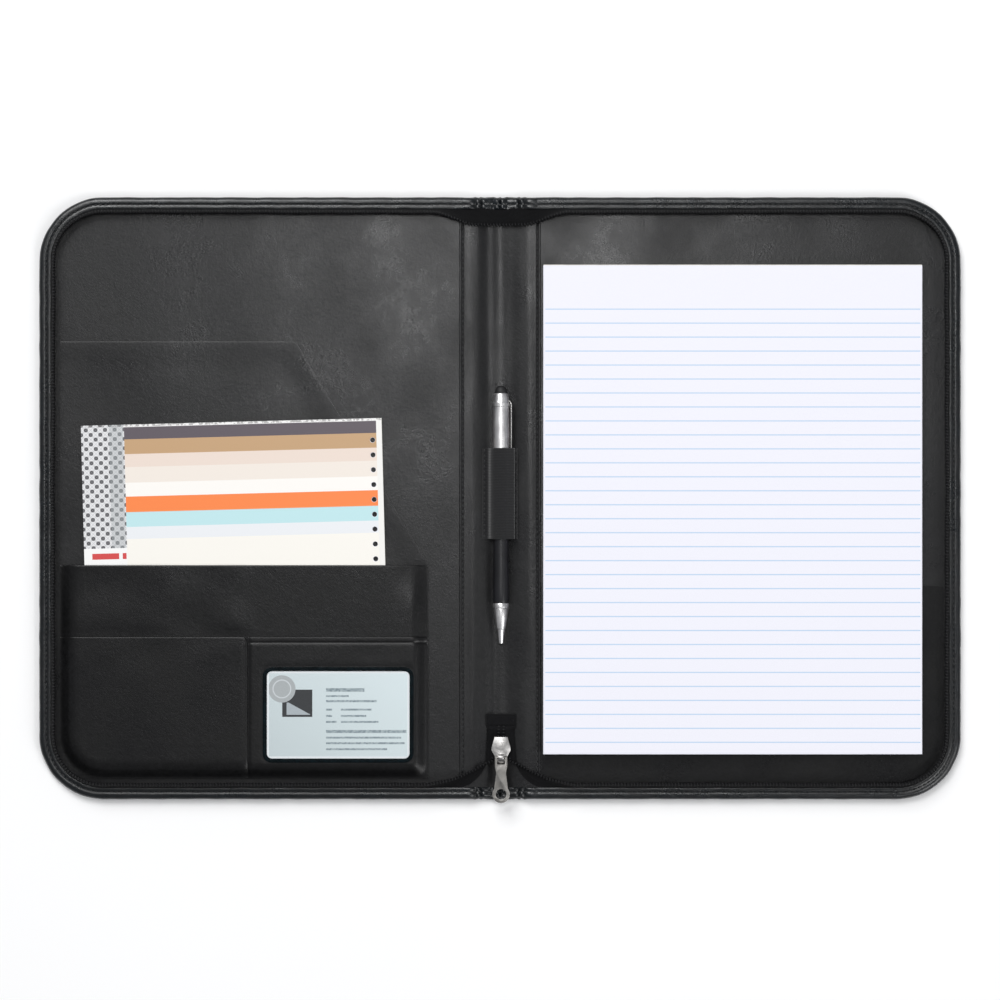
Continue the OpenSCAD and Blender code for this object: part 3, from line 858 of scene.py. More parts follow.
def notebook_print():
    """Striped card cover with a lattice margin."""
    f = Finish("notebook_card", Specular_IOR_Level=0.4, Coat_Weight=0.15, Coat_Roughness=0.25)
    across, down = notebook_frame(f)
    stripes = f.tree.nodes.new("ShaderNodeValToRGB")
    ramp = stripes.color_ramp
    ramp.interpolation = "CONSTANT"
    start = 0.0
    for index, (end, colour) in enumerate(STRIPES):
        stop = ramp.elements[0] if index == 0 else ramp.elements.new(start / NOTEBOOK_H)
        stop.position, stop.color = start / NOTEBOOK_H, (*colour, 1)
        start = end
    ramp.elements.remove(ramp.elements[-1])
    f.tree.links.new(f.math("DIVIDE", down, NOTEBOOK_H), stripes.inputs[0])
    base = stripes.outputs[0]
    fine = f.noise(f.place(), 0.5, 3)
    # Right of the holes, the plain leaves behind the cover show
    base = f.mix(f.math("GREATER_THAN", across, NOTEBOOK_W - 3.2), base, (0.84, 0.83, 0.80))
    # Margin of dots on a diamond lattice
    u = f.math("DIVIDE", across, 5.5)
    v = f.math("DIVIDE", down, 5.4)
    lattice = f.times(f.math("COSINE", f.times(u, 2 * pi)),
                     f.math("COSINE", f.times(v, 2 * pi)))
    dots = f.remap(lattice, 0.05, 0.45, 0, 1)
    lines = f.math("ABSOLUTE", f.math("SINE", f.times(f.plus(u, v), 2 * pi)))
    crossed = f.math("ABSOLUTE", f.math(
        "SINE", f.times(f.minus(u, v), 2 * pi)))
    grid_lines = f.math("MINIMUM", lines, crossed)
    margin = f.mix(dots, (0.76, 0.76, 0.77), (0.06, 0.055, 0.06))
    margin = f.mix(f.remap(grid_lines, 0.12, 0.3, 0.55, 0), margin, (0.32, 0.34, 0.36))
    margin = f.mix(f.band(across, 16.0, 24.0), margin, f.mix(
        0.45, margin, (0.34, 0.37, 0.38)))
    label = f.band(down, 70.5, 90.0)
    margin = f.mix(label, margin, (0.88, 0.88, 0.87))
    bar = f.times(f.band(down, 73.4, 76.8), f.math(
        "MAXIMUM", f.band(across, 4.6, 20.0), f.band(across, 22.0, 24.2)))
    margin = f.mix(bar, margin, (0.62, 0.06, 0.06))
    base = f.mix(f.math("LESS_THAN", across, 24.6), base, margin)
    # The uneven top edges of the leaves
    ragged = f.times(f.math("LESS_THAN", down, 1.2), f.remap(
        f.noise(f.place(), 1.6, 2), 0.45, 0.55, 0, 0.7))
    base = f.mix(ragged, base, (0.25, 0.24, 0.24))
    f.set(Base_Color=base, Roughness=f.remap(fine, 0.3, 0.7, 0.36, 0.5),
          Normal=f.bump(fine, 0.01))
    return f.material


def card_print(colour):
    """Pale card with a plain picture, a badge and bars in place of words."""
    f = Finish("printed_card", Specular_IOR_Level=0.45)
    x, y, _ = f.split(f.place((middle("business_card", X), middle("business_card", Y), 0)))
    x, y = f.times(x, 1 / MM), f.times(y, 1 / MM)
    fine = f.noise(f.place(), 0.4, 3)
    # Painted light: the stock is lighter towards +x and +y, the spine and the top of the case,
    # where the light is strongest
    painted_light_gradient = f.remap(f.plus(x, y), -60, 60, 0, 1)
    base = f.mix(painted_light_gradient, shade(colour, 0.88), shade(colour, 1.12))

    def box(x0, x1, y0, y1):
        return f.times(f.band(x, x0, x1), f.band(y, y0, y1))

    picture = box(-32.0, -14.8, -1.2, 14.4)
    inner = f.times(box(-29.5, -16.0, 0.0, 7.0), f.math(
        "LESS_THAN", f.plus(y, f.times(x, 0.55)), -8.6))
    base = f.mix(picture, base, (0.010, 0.011, 0.014))
    base = f.mix(inner, base, (0.42, 0.47, 0.50))
    far = f.math("POWER", f.plus(f.math("POWER", f.plus(x, 32.2), 2.0),
                                 f.math("POWER", f.minus(y, 14.8), 2.0)), 0.5)
    base = f.mix(f.math("LESS_THAN", far, 7.8), base, (0.42, 0.45, 0.46))
    base = f.mix(f.times(f.math("LESS_THAN", far, 5.4),
                        f.math("GREATER_THAN", far, 4.7)), base, (0.62, 0.66, 0.68))
    bars = 0.0
    for y0, x0, x1, thick in (
            (13.2, -7, 15, 2.0), (10.2, -7, 6, 1.0), (7.2, -7, 22, 1.2), (2.4, -7, -3.5, 1.1),
            (2.4, 1.5, 19, 1.1), (-1.2, -7, -3.5, 1.1), (-1.2, 1.5, 16, 1.1),
            (-4.6, -7, -1, 1.1), (-4.6, 1.5, 23, 1.1), (-10.4, -7, 39, 1.7),
            (-13.6, -7, 36, 1.1), (-16.8, -7, 38, 1.1), (-20.2, -7, 28, 1.1)):
        bar = box(x0, x1, y0, y0 + thick)
        bars = bar if bars == 0.0 else f.math("MAXIMUM", bars, bar)
    broken = f.remap(f.noise(f.place(), 0.9, 2), 0.4, 0.6, 0.55, 1.0)
    base = f.mix(f.times(bars, broken), base, (0.20, 0.26, 0.29))
    rim = f.math("MAXIMUM", f.math("GREATER_THAN", f.math("ABSOLUTE", x), 39.6),
                 f.math("GREATER_THAN", f.math("ABSOLUTE", y), 23.8))
    base = f.mix(rim, base, (0.86, 0.90, 0.92))
    f.set(Base_Color=base, Roughness=f.remap(fine, 0.3, 0.7, 0.4, 0.55),
          Normal=f.bump(fine, 0.01))
    return f.material


def clear_film():
    """Window film."""
    f = Finish("clear_film", Base_Color=(0.25, 0.27, 0.28), Alpha=0.05, IOR=1.45,
               Specular_IOR_Level=0.6)
    ripple = f.noise(f.place(), 14, 2)
    f.set(Roughness=f.remap(ripple, 0.3, 0.7, 0.1, 0.2), Normal=f.bump(ripple, 0.25))
    return f.material


def floor_finish():
    """Nearly white floor, with a very slight cloudiness."""
    f = Finish("pale_floor", Specular_IOR_Level=0.1)
    f.set(Base_Color=f.mix(f.remap(f.noise(f.place(), 300, 2), 0.3, 0.7, 0, 1),
                           (0.95, 0.95, 0.95), (0.96, 0.96, 0.96)), Roughness=0.9)
    return f.material


# ---- Case -------------------------------------------------------------------


def swell(x, y):
    """Slight hollows that every layer on a cover shares, in millimetres."""
    return -0.14 + 0.14 * waves(x, y, 70, 3)


def edge_height(x, s):
    """Height of the binding, lower where it crosses the spine, and its puckers there."""
    near = np.abs(x)
    height = EDGE_TOP - (EDGE_TOP - SPINE_EDGE_TOP) * (1 - smooth((near - 9) / 9))
    gather = 1 - smooth((near - 14) / 9)
    crests = np.abs(np.sin(pi * x / 5.2 + 0.9 * np.sin(x * 0.55))) ** 0.8
    folds = (2 * crests - 1) * gather
    return height + 0.1 * waves(s, 0 * s, 16, 5), folds


BINDING_PROFILE = (  # (distance in, height, which face it hangs on): 1 is the top, 0 the foot
    (7.0, -0.45, 1), (6.85, -0.14, 1), (6.4, 0.0, 1), (5.6, 0.0, 1), (5.0, -0.1, 1),
    (4.4, -0.42, 1), (3.8, -0.1, 1), (3.0, 0.0, 1), (2.0, -0.08, 1), (1.1, -0.5, 1),
    (0.45, -1.2, 1), (0.1, -2.0, 1), (0.0, 2.6, 0), (0.1, 1.8, 0), (0.45, 1.0, 0),
    (1.1, 0.42, 0), (2.0, 0.08, 0), (3.0, 0.0, 0), (3.8, 0.08, 0), (4.4, 0.4, 0),
    (5.0, 0.08, 0), (5.8, 0.0, 0), (6.5, 0.03, 0), (6.9, 0.15, 0), (7.0, 0.4, 0),
    (6.9, 0.78, 0), (5.0, 0.8, 0), (2.0, 0.85, 0), (1.2, 1.3, 0), (1.1, 2.2, 0),
    (1.2, -1.4, 1), (2.0, -0.95, 1), (5.0, -0.9, 1), (6.9, -0.85, 1))


def make_binding(side):
    """Tape folded over the edge of one cover and its half of the spine, with its stitches."""
    s = sizes()
    scale = s["binding_w"] / BINDING_PROFILE[0][0]
    stations = edge_stations()
    rings, seam_top, seam_foot = [], [], []
    for d in stations:
        x, y, nx, ny = edge_point(d)
        height, folds = edge_height(np.array(x), np.array(d))
        ring = []
        for u, z, top in BINDING_PROFILE:
            pinch = float(folds) * (1 if 0.3 < u < 6.6 else 0.3)
            level = z + (float(height) + 0.6 * pinch if top else 0)
            out = u * scale + 0.12 * float(waves(np.array(d), np.array(u), 11, 8))
            out += 0.22 * float(folds) if u < 1.5 else 0
            ring.append((x + nx * max(out, -0.1), y + ny * max(out, -0.1), max(level, 0)))
        rings.append(ring)
        inset = BINDING_SEAM * scale
        seam_top.append((x + nx * inset, y + ny * inset, float(height) - 0.22))
        seam_foot.append((x + nx * inset, y + ny * inset, 0.22))
    word = cover_word(side)
    piece = turned(loft(word + "_edge_binding", rings), side)
    finished(piece, "binding")
    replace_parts(piece, word + "_binding",
                "spine_binding_top" if side > 0 else "spine_binding_bottom")
    across_fold(piece)
    for name, line in (("top", seam_top), ("foot", seam_foot)):
        sewn = turned(stitches(f"{word}_binding_stitches_{name}", [line]), side)
        across_fold(sewn)


def cover_places(start, inset, step=4.0, columns=(), rows=()):
    """Grid over a cover, from a line beside the spine to near the outline."""
    far = far_side(inset)
    return grid(spread(inset - HALF_H, HALF_H - inset, step, lines=rows), lambda y: start, far,
                spread(start, far(0), step, lines=columns))


def make_lining(side):
    """Lining of one cover, sunk a little before the binding."""
    word = cover_word(side)
    start, inset = LINING_X - 3, 4.0

    def top(x, y):
        return COVER_TOP + swell(x, y) - 0.25 * dip(inside(x, y) - 8.5, 1.6)

    piece = turned(slab(word + "_lining", cover_places(start, inset), top,
                        level(LINING_Z - 0.3)), side)
    finished(piece, "lining")
    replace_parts(piece, word + "_cover_lining")
    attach(piece, cover_side(side))


def valley(x):
    """Height of the spine lining, which sinks softly towards the middle of the spine."""
    return SPINE_TOP + 0.06 + (COVER_TOP + 0.4 - SPINE_TOP) * smooth((np.abs(x) - 1.5) / 15)


def spine_lining_top(x, y):
    """Upper face of the spine lining, with its seam and its lengthwise creases."""
    near = np.abs(x)
    height = valley(x) + 0.22 * dip(near - LINING_X + 0.9, 0.9)
    height = height - 0.3 * dip(near - LINING_X + LINING_SEAM, 0.45)
    streaks = 0.14 * waves(x, y * 0.04, 8, 21) + 0.1 * waves(x, y * 0.25, 13, 22)
    return height + (streaks - 0.16) * (1 - dip(near - LINING_X, 2.5))


def make_spine_lining(side):
    """Half of the spine lining, and the stitches that hold it to the cover."""
    word = cover_word(side)
    reach = HALF_H - SPINE_LINING_INSET
    rows = spread(-reach, reach, 3)
    columns = spread(0, LINING_X, 0.9, lines=(LINING_X - LINING_SEAM,))
    places = grid(rows, lambda y: 0, lambda y: LINING_X, columns)

    def top(x, y):
        # y is kept from mirroring, so that the two halves meet at x = 0
        return spine_lining_top(x * side, y) - 0.2 * (1 - rounded(LINING_X - x, 0.5))

    piece = turned(slab(word + "_spine_lining", places, top,
                        lambda x, y: spine_lining_top(x * side, y) - 0.5), side)
    finished(piece, "lining")
    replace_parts(piece, word + "_hinge_lining", *(["spine_lining"] if side > 0 else []))
    across_fold(piece)
    line = [(LINING_X - LINING_SEAM, y, COVER_TOP + 0.42) for y in np.linspace(-164.5, 164.5, 60)]
    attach(turned(stitches(word + "_lining_stitches", [line]), side), cover_side(side))


def zip_rails(side):
    """Foot and head of the standing zip tape, then of its loose end at the slider."""
    total = edge_length()
    free = 40
    stations = edge_stations(2.4, 1.2, 30)
    stations = stations[stations < total - free]
    foot, head = [], []
    for d in stations:
        x, y, nx, ny = edge_point(d)
        lie = 1 - smooth((x - 12) / 28) if y > 0 else 0.0
        low_z = float(min(valley(x), COVER_TOP)) + 0.5
        wobble = 0.25 * float(waves(np.array(d), np.array(0.0), 30, 31))
        u = 9.7 + 6.4 * lie + wobble
        z = COIL_FOOT + 0.4 - (COIL_FOOT - low_z - 1.7 + 0.4) * lie
        foot.append((x + nx * 6.6, y + ny * 6.6, low_z))
        head.append((x + nx * u, y + ny * u, z))
    near = [  # distance from the zip's middle line, y, height: head then foot
        ((34, -161.4, 10.6), (34, -165.4, 5.2)), ((26, -159.6, 8.6), (27, -165.3, 5.2)),
        ((18.0, -156.4, 7.0), (20, -164.5, 5.5)), ((11.0, -152.8, 6.6), (13.6, -160.2, 5.4)),
        ((6.2, -150.4, 6.6), (9.8, -154.5, 5.0)), ((2.6, -147.5, 6.7), (8.4, -149, 5.4)),
        ((1.7, -143, 6.7), (7.9, -143, 5.5)), ((1.5, -137, 6.0), (7.6, -137, 5.0)),
        ((1.5, -129, 4.8), (7.4, -129, 4.6))]
    tail_head = [tuple(head[-1])] + [(x + ZIP_X * side, y, z) for (x, y, z), _ in near]
    tail_foot = [tuple(foot[-1])] + [(x + ZIP_X * side, y, z) for _, (x, y, z) in near]
    head = np.vstack([head[:-1], rail(tail_head, 46)])
    foot = np.vstack([foot[:-1], rail(tail_foot, 46)])
    return foot, head


def make_zip(side):
    """One standing zip tape with its coil."""
    word = cover_word(side)
    foot, head = zip_rails(side)
    piece = turned(ribbon(word + "_tape", foot, head, 0.5, 0.35, 7), side)
    finished(piece, "tape")
    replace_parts(piece, word + "_zip_tape",
                "spine_zip_tape" if side > 0 else "zip_tape_tails")
    across_fold(piece)
    lean = head - foot
    lean /= np.linalg.norm(lean, axis=1, keepdims=True)
    along = np.gradient(head, axis=0)
    inward = np.cross(along, lean)
    inward /= np.linalg.norm(inward, axis=1, keepdims=True)
    inward *= np.where(inward[:, 2:3] > 0, 1, -1)
    line = head + lean * 0.15 + inward * 0.75
    coil = turned(beads(word + "_coil", [line], sizes()["tooth_pitch"], (1.35, 2.1, 1.9),
                        finish("coil")), side)
    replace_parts(coil, word + "_zip_coil")
    across_fold(coil)


def tuck(x, y):
    """How far an outer panel lifts to pass under the binding."""
    deep = inside(x, y)
    return 0.62 * (1 - smooth((deep - BINDING_TUCK) / 3)) + 0.34 * (
        1 - smooth((deep - BINDING_TUCK) / 16))


def fold_and_seam(d, seam):
    """Relief of a turned edge at distance 0, its row of stitches, and the padding beyond."""
    return (0.5 * (1 - rounded(d, 1.1)) + 0.42 * dip(d - seam, 0.65)
            + 0.26 * (1 - smooth((d - seam) / 13)) * smooth((d - seam + 1.2) / 1.2))


def arc_x(y):
    """The slip pocket's curved mouth."""
    s = sizes()
    chord = HALF_H - s["binding_w"]
    r = (chord ** 2 + s["arc_depth"] ** 2) / (2 * s["arc_depth"])
    return HALF_W - s["arc_end"] - s["arc_depth"] + r - (r * r - y * y) ** 0.5


def make_back_panel():
    """Padded outside of the back cover."""
    places = cover_places(SEAM_X, PANEL_INSET, 3.5, columns=(SEAM_X + TURNED_SEAM,))

    def foot(x, y):
        near = x - SEAM_X
        return tuck(x, y) + fold_and_seam(near, TURNED_SEAM) + 0.07 * (1 + waves(x, y, 45, 41))

    piece = slab("back_panel", places, level(BOARD_Z - 0.02), foot)
    finished(piece, "outer")
    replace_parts(piece, "back_cover_skin", "back_cover_foam")
    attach(piece, "back_cover")
    line = [(SEAM_X + TURNED_SEAM, y, 0.25) for y in np.linspace(-164, 164, 60)]
    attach(stitches("back_panel_stitches", [line]), "back_cover")


def make_front_panels():
    """Outside of the front cover: the slip pocket, and the padded panel under its mouth."""
    reach = HALF_H - PANEL_INSET
    rows = spread(-reach, reach, 3.5)
    columns = spread(SEAM_X, 226, 3.0, lines=(SEAM_X + TURNED_SEAM, 226 - MOUTH_SEAM))

    def foot(x, y):
        seam = x - SEAM_X
        mouth = np.vectorize(arc_x)(y) - x
        return (tuck(x, y) + fold_and_seam(seam, TURNED_SEAM) + fold_and_seam(mouth, MOUTH_SEAM)
                + 0.07 * (1 + waves(x, y, 45, 43)))

    places = grid(rows, lambda y: SEAM_X, arc_x, columns)
    slip = turned(slab("front_slip_panel", places,
                       lambda x, y: np.maximum(SKIN_T, foot(x, y) + 0.25), foot), -1)
    finished(slip, "outer")
    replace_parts(slip, "front_pocket_panel")
    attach(slip, "front_cover")

    def fore_foot(x, y):
        past = x - np.vectorize(arc_x)(y)
        puff = smooth(past / 9) * smooth((HALF_W - 6 - x) / 12) * smooth((160 - abs(y)) / 14)
        return (1.12 - 0.85 * puff + 0.06 * waves(x, y, 40, 44)
                + 0.12 * dip(past - 5, 3) * waves(x, y * 0.6, 26, 45))

    places = cover_places(SEAM_X + 6, 5.0, 3.0)
    fore = turned(slab("front_fore_panel", places, level(BOARD_Z - 0.02),
                       fore_foot), -1)
    finished(fore, "fore")
    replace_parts(fore, "front_cover_skin", "front_cover_foam")
    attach(fore, "front_cover")
    ys = np.linspace(-163.5, 163.5, 110)
    lines = [[(SEAM_X + TURNED_SEAM, y, 0.25) for y in ys],
             [(arc_x(y) - MOUTH_SEAM, y, 0.25) for y in ys]]
    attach(turned(stitches("front_panel_stitches", lines), -1), "front_cover")


def make_spine_leather(side):
    """Half of the leather strip over the outside of the spine."""
    word = cover_word(side)
    reach, end = HALF_H - PANEL_INSET, SEAM_X + 7
    places = grid(spread(-reach, reach, 3), lambda y: 0, lambda y: end,
                  spread(0, end, 1.3, lines=(FOLD_X,)))

    def foot(x, y):
        return (0.04 + 0.9 * smooth((x - SEAM_X + 4) / 3.5) + 0.3 * dip(x - FOLD_X, 1.3)
                + 0.1 * (1 + waves(x * side, y, 17, 47)) + tuck(x * 0, y) * 0.9)

    piece = turned(slab(word + "_spine_leather", places,
                        lambda x, y: foot(x, y) + 0.6, foot), side)
    finished(piece, "spine")
    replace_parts(piece, word + "_spine_wing", *(["spine_strip"] if side > 0 else []))
    across_fold(piece)


# ---- Pockets ------------------------------------------------------------------


POCKET_RISE = 8.5  # a filled pocket rises to its full height over this width


def sewn_in(x, y, rise):
    """0 at the pocket's sewn sides and foot, 1 further in."""
    return smooth((x - POCKET_X) / rise) * smooth((inside(x, y) - HALF_W + POCKET_FAR) / rise)


def pocket(name, places, top, thickness, node, material="pocket",
           ring=False):
    """One sheet pocket on the front cover."""
    piece = turned(slab(name, places, top, lambda x, y: top(x, y) - thickness(x, y), ring), -1)
    finished(piece, material)
    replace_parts(piece, node)
    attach(piece, "front_cover")


def far_pocket():
    """Far side of the pockets' grids."""
    return far_side(HALF_W - POCKET_FAR)


def make_document_pocket():
    """Large pocket with the slanted edge next to the spine."""
    slope = sizes()["slope_w"]

    def near(y):
        rise = np.clip((y - MIDDLE_TOP) / (DOCUMENT_TOP - MIDDLE_TOP), 0, 1)
        bend = 2.2
        corner = DOCUMENT_TOP - y
        soft = bend - (bend ** 2 - (bend - min(corner, bend)) ** 2) ** 0.5
        return POCKET_X + slope * rise + soft * 1.4

    rows = spread(POCKET_FOOT, DOCUMENT_TOP, 3.5, lines=(DOCUMENT_TOP - 3.2,))
    places = grid(rows, near, far_pocket(), spread(POCKET_X, POCKET_FAR, 3.5))

    def edge(x, y):
        side = (x - np.vectorize(near)(y)) * 0.87
        return np.minimum(DOCUMENT_TOP - y, side)

    def top(x, y):
        lift = 0.35 * smooth(1 - edge(x, y) / 16) * (y > MIDDLE_TOP)
        return (COVER_TOP + 0.52 + swell(x, y) + lift
                - 0.06 * (1 - rounded(edge(x, y), 0.7)) + 0.12 * waves(x, y, 55, 51))

    pocket("document_pocket_sheet", places, top,
           lambda x, y: 0.5 + 0.2 * dip(edge(x, y), 1.5), "document_pocket",
           "lining")


def middle_top(x, y):
    """Upper face of the middle pocket, which the notebook fills out."""
    full = sewn_in(x, y, POCKET_RISE)
    mouth = smooth((y - MIDDLE_TOP + 26) / 26)
    # Beside the notebook the mouth sinks back
    beside = np.maximum(smooth((66 - x) / 20), smooth((x - 239) / 12))
    sag = 1.3 * mouth * beside
    # The card passes over the side next to the spine, so the ripples stay off it
    ripple = 0.24 * (1 + waves(x, y * 1.6, 48, 52)) * smooth((y - LOWER_TOP) / 8)
    ripple = ripple * smooth((x - 138) / 16)
    return COVER_TOP + 0.7 + (MIDDLE_Z - COVER_TOP - 0.7) * full - sag * full + ripple * full


def make_middle_pocket():
    """Pocket over the full width, which holds the notebook."""
    rows = spread(POCKET_FOOT, MIDDLE_TOP, 2.5, lines=(MIDDLE_TOP - 2.6,))
    places = grid(rows, lambda y: POCKET_X, far_pocket(), spread(POCKET_X, POCKET_FAR, 3))

    def top(x, y):
        lip = MIDDLE_TOP - y
        return middle_top(x, y) - 0.3 * (1 - rounded(lip, 0.6))

    pocket("middle_pocket_sheet", places, top, level(0.45), "middle_pocket")


def lower_top(x, y):
    """Upper face of the lower and the card pocket, parted by a groove."""
    full = sewn_in(x, y, POCKET_RISE)
    mouth = smooth((y - LOWER_TOP + 24) / 24)
    away = LOWER_Z - MIDDLE_Z - 0.02
    groove = 0.45 * dip(x - SPLIT_X, 1.3)
    foot = COVER_TOP + 1.3 + (MIDDLE_Z - COVER_TOP - 1.3) * full
    return foot + away * full - groove + 0.22 * mouth * waves(x, y, 34, 53) * full


def make_lower_pocket():
    """Lower pocket next to the fore edge."""
    start = SPLIT_X + 0.15
    rows = spread(POCKET_FOOT, LOWER_TOP, 2.5, lines=(LOWER_TOP - 3.0,))

    def near(y):
        corner = min(LOWER_TOP - y, 3.0)
        return start + 3.0 - (9.0 - (3.0 - corner) ** 2) ** 0.5

    places = grid(rows, near, far_pocket(), spread(start, POCKET_FAR, 2.5))

    def edge(x, y):
        return np.minimum(LOWER_TOP - y, x - np.vectorize(near)(y))

    def top(x, y):
        return lower_top(x, y) - 0.32 * (1 - rounded(edge(x, y), 0.6))

    pocket("lower_pocket_sheet", places, top, level(0.45), "lower_pocket")


def make_card_pocket():
    """Sheet with a round-cornered window, on a grid that runs round the window."""
    cx, cy = -middle("card_window", X), middle("card_window", Y)
    ww = high("card_window", X) - low("card_window", X)
    wh = high("card_window", Y) - low("card_window", Y)
    r, per_side = 3.0, 44
    right = SPLIT_X - 0.15
    outer = [(POCKET_X, POCKET_FOOT), (right, POCKET_FOOT), (right, LOWER_TOP),
             (POCKET_X, LOWER_TOP)]
    inner = [(cx - ww / 2, cy - wh / 2), (cx + ww / 2, cy - wh / 2),
             (cx + ww / 2, cy + wh / 2), (cx - ww / 2, cy + wh / 2)]

    def corner_snap(p):
        q = np.abs(p - (cx, cy)) - (ww / 2 - r, wh / 2 - r)
        if min(q) <= 0:
            return p
        q = q / np.linalg.norm(q) * r + (ww / 2 - r, wh / 2 - r)
        return np.array((cx, cy)) + q * np.sign(p - (cx, cy))

    def away(p):
        """Direction out of the window at a place on its outline."""
        q = np.maximum(np.abs(p - (cx, cy)) - (ww / 2 - r, wh / 2 - r), 0)
        return q / np.linalg.norm(q) * np.sign(p - (cx, cy))

    share = np.unique(np.concatenate([
        smooth(np.linspace(0, 1, per_side)), [0.004, 0.012, 0.988, 0.996]]))[:-1]
    ring_in, ring_out = [], []
    for i in range(4):
        for t in share:
            a, b = np.array(inner[i]), np.array(inner[(i + 1) % 4])
            ring_in.append(corner_snap(a + (b - a) * t))
            a, b = np.array(outer[i]), np.array(outer[(i + 1) % 4])
            ring_out.append(a + (b - a) * t)
    ring_in, ring_out = np.array(ring_in), np.array(ring_out)
    steps = (0, 0.012, 0.035, 0.07, 0.12, 0.17, 0.24, 0.34, 0.46, 0.6, 0.7, 0.76, 0.8, 0.82,
             0.84, 0.86, 0.88, 0.9, 0.93, 0.96, 0.98, 0.993, 1)
    places = np.array([ring_in + (ring_out - ring_in) * t for t in steps])

    def window(x, y):
        qx, qy = np.abs(x - cx) - (ww / 2 - r), np.abs(y - cy) - (wh / 2 - r)
        return np.hypot(np.maximum(qx, 0), np.maximum(qy, 0)) + np.minimum(
            np.maximum(qx, qy), 0) - r

    def top(x, y):
        past = window(x, y)
        return (lower_top(x, y) - 0.3 * (1 - rounded(past, 0.7))
                - 0.32 * (1 - rounded(LOWER_TOP - y, 0.6)) - 0.16 * dip(past - 2.6, 0.7)
                - 0.28 * dip(LOWER_TOP - y - 3.2, 0.55))

    # Painted shadow: a black band in the spine's leather round the window stands for the shadow
    # that the pocket's edge casts on the card
    ways = np.array([away(p) for p in ring_in])
    shadow_band_places = np.array([ring_in + ways * d for d in (0.05, 0.3, 0.7, 1.3, 1.8, 2.1, 2.3)])

    def shadow_band_top(x, y):
        past = window(x, y)
        return (lower_top(x, y) + 0.2 - 0.25 * (1 - rounded(past, 0.6))
                - 0.3 * (1 - rounded(2.35 - past, 0.6)))

    rim = turned(slab("card_window_rim", shadow_band_places, shadow_band_top,
                      lambda x, y: shadow_band_top(x, y) - 0.3, ring=True), -1)
    finished(rim, "spine")
    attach(rim, "front_cover")

    pocket("card_pocket_sheet", places, top, level(0.42), "card_pocket",
           ring=True)


def make_pad_slot():
    """Sheet that the pad's backing slides behind."""
    start, top_y = LINING_X + 0.4, high("pad_slot_panel", Y)
    inset = 10.0
    far = far_side(inset)
    places = grid(spread(inset - HALF_H, top_y, 4), lambda y: start, far,
                  spread(start, far(0), 4))

    def top(x, y):
        base = high("pad_slot_panel", Z) - 0.03
        outside = np.maximum(smooth((low("pad_sheets", Y) - y) / 10),
                             smooth((x - high("pad_sheets", X)) / 8))
        return base - 0.55 * outside + 0.05 * waves(x, y, 40, 54) * outside

    piece = slab("pad_slot_sheet", places, top, lambda x, y: top(x, y) - 0.42)
    finished(piece, "pocket")
    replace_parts(piece, "pad_slot_panel")
    (far(0) - start) * MM
    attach(piece, "back_cover")


# ---- Spine furniture ------------------------------------------------------------


def make_pen_loop():
    """Elastic over the pen and clip, with its feet sewn to the spine."""
    y0, y1 = low("pen_loop", Y), high("pen_loop", Y)
    z0 = SPINE_TOP + 0.22
    left, right = float(valley(-9.8)), float(valley(9.8))
    centre = [
        (-9.8, left + 0.3), (-9.0, left + 0.1), (-8.0, left), (-6.8, left + 0.5),
        (-6.0, z0 + 3.1), (-5.5, 8.4), (-4.9, 10.6), (-3.4, 12.6), (-1.6, 13.55),
        (0.6, 13.85), (2.8, 13.5), (4.7, 12.3), (6.6, 10.9), (7.7, 9.9), (8.15, 8.4),
        (8.0, 6.8), (8.05, right + 0.8), (8.5, right + 0.15), (9.1, right + 0.1),
        (9.8, right + 0.3)]
    line = rail([(x, 0, z) for x, z in centre], 64)
    along = np.gradient(line, axis=0)
    out = np.cross(np.tile((0.0, 1.0, 0.0), (len(line), 1)), along)
    out /= np.linalg.norm(out, axis=1, keepdims=True)
    out *= -1 if out[32, 2] < 0 else 1
    stations = spread(y0, y1, 3.0)
    rings = []
    for y in stations:
        near = min(y - y0, y1 - y)
        half = 0.34 * float(rounded(np.array(near), 0.5)) + 0.02
        pinch = 0.25 * float(1 - smooth(np.array(near / 4)))
        lift = np.maximum(line[:, 2:3] - z0 - 1.5, 0) / 10
        shape = line - out * pinch * lift
        shape = shape + np.array((0, y, 0))
        rings.append(np.vstack([shape + out * half, (shape - out * half)[::-1]]))
    piece = loft("pen_elastic", rings)
    finished(piece, "elastic")
    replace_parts(piece, "pen_loop")
    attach(piece, "spine")
    rows = [[(x, y, left + 0.4) for y in np.linspace(y0 + 1.5, y1 - 1.5, 12)]
            for x in (-8.9, 9.1)]
    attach(stitches("elastic_stitches", rows), "spine")


def make_end_tab():
    """Folded tape over the zip's ends, narrowing towards the slider."""
    foot, head = low("zip_end_tab", Y), high("zip_end_tab", Y)
    cx = middle("zip_end_tab", X)

    def half(y):
        return 5.4 + 3.3 * float(smooth(np.array((y - foot + 0.5) / 6.5)))

    rows = spread(foot - 0.8, head, 0.8, lines=(foot + 5.5,))
    places = grid(rows, lambda y: cx - half(y), lambda y: cx + half(y),
                  spread(cx - 8.5, cx + 8.5, 0.9))

    def top(x, y):
        side = np.vectorize(half)(y) - np.abs(x - cx)
        dome = 2.5 * rounded(np.minimum(side, head - y), 2.0) + 0.35
        fold = 0.75 * dip(y - foot - 5.5, 0.7)
        lower = 0.9 * smooth((foot + 5 - y) / 4)
        return SPINE_TOP + 0.75 + dome - fold - lower + 0.16 * waves(x, y, 7, 61)

    piece = slab("zip_end_fold", places, top, level(SPINE_TOP + 0.25))
    finished(piece, "tab")
    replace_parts(piece, "zip_end_tab")
    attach(piece, "spine")


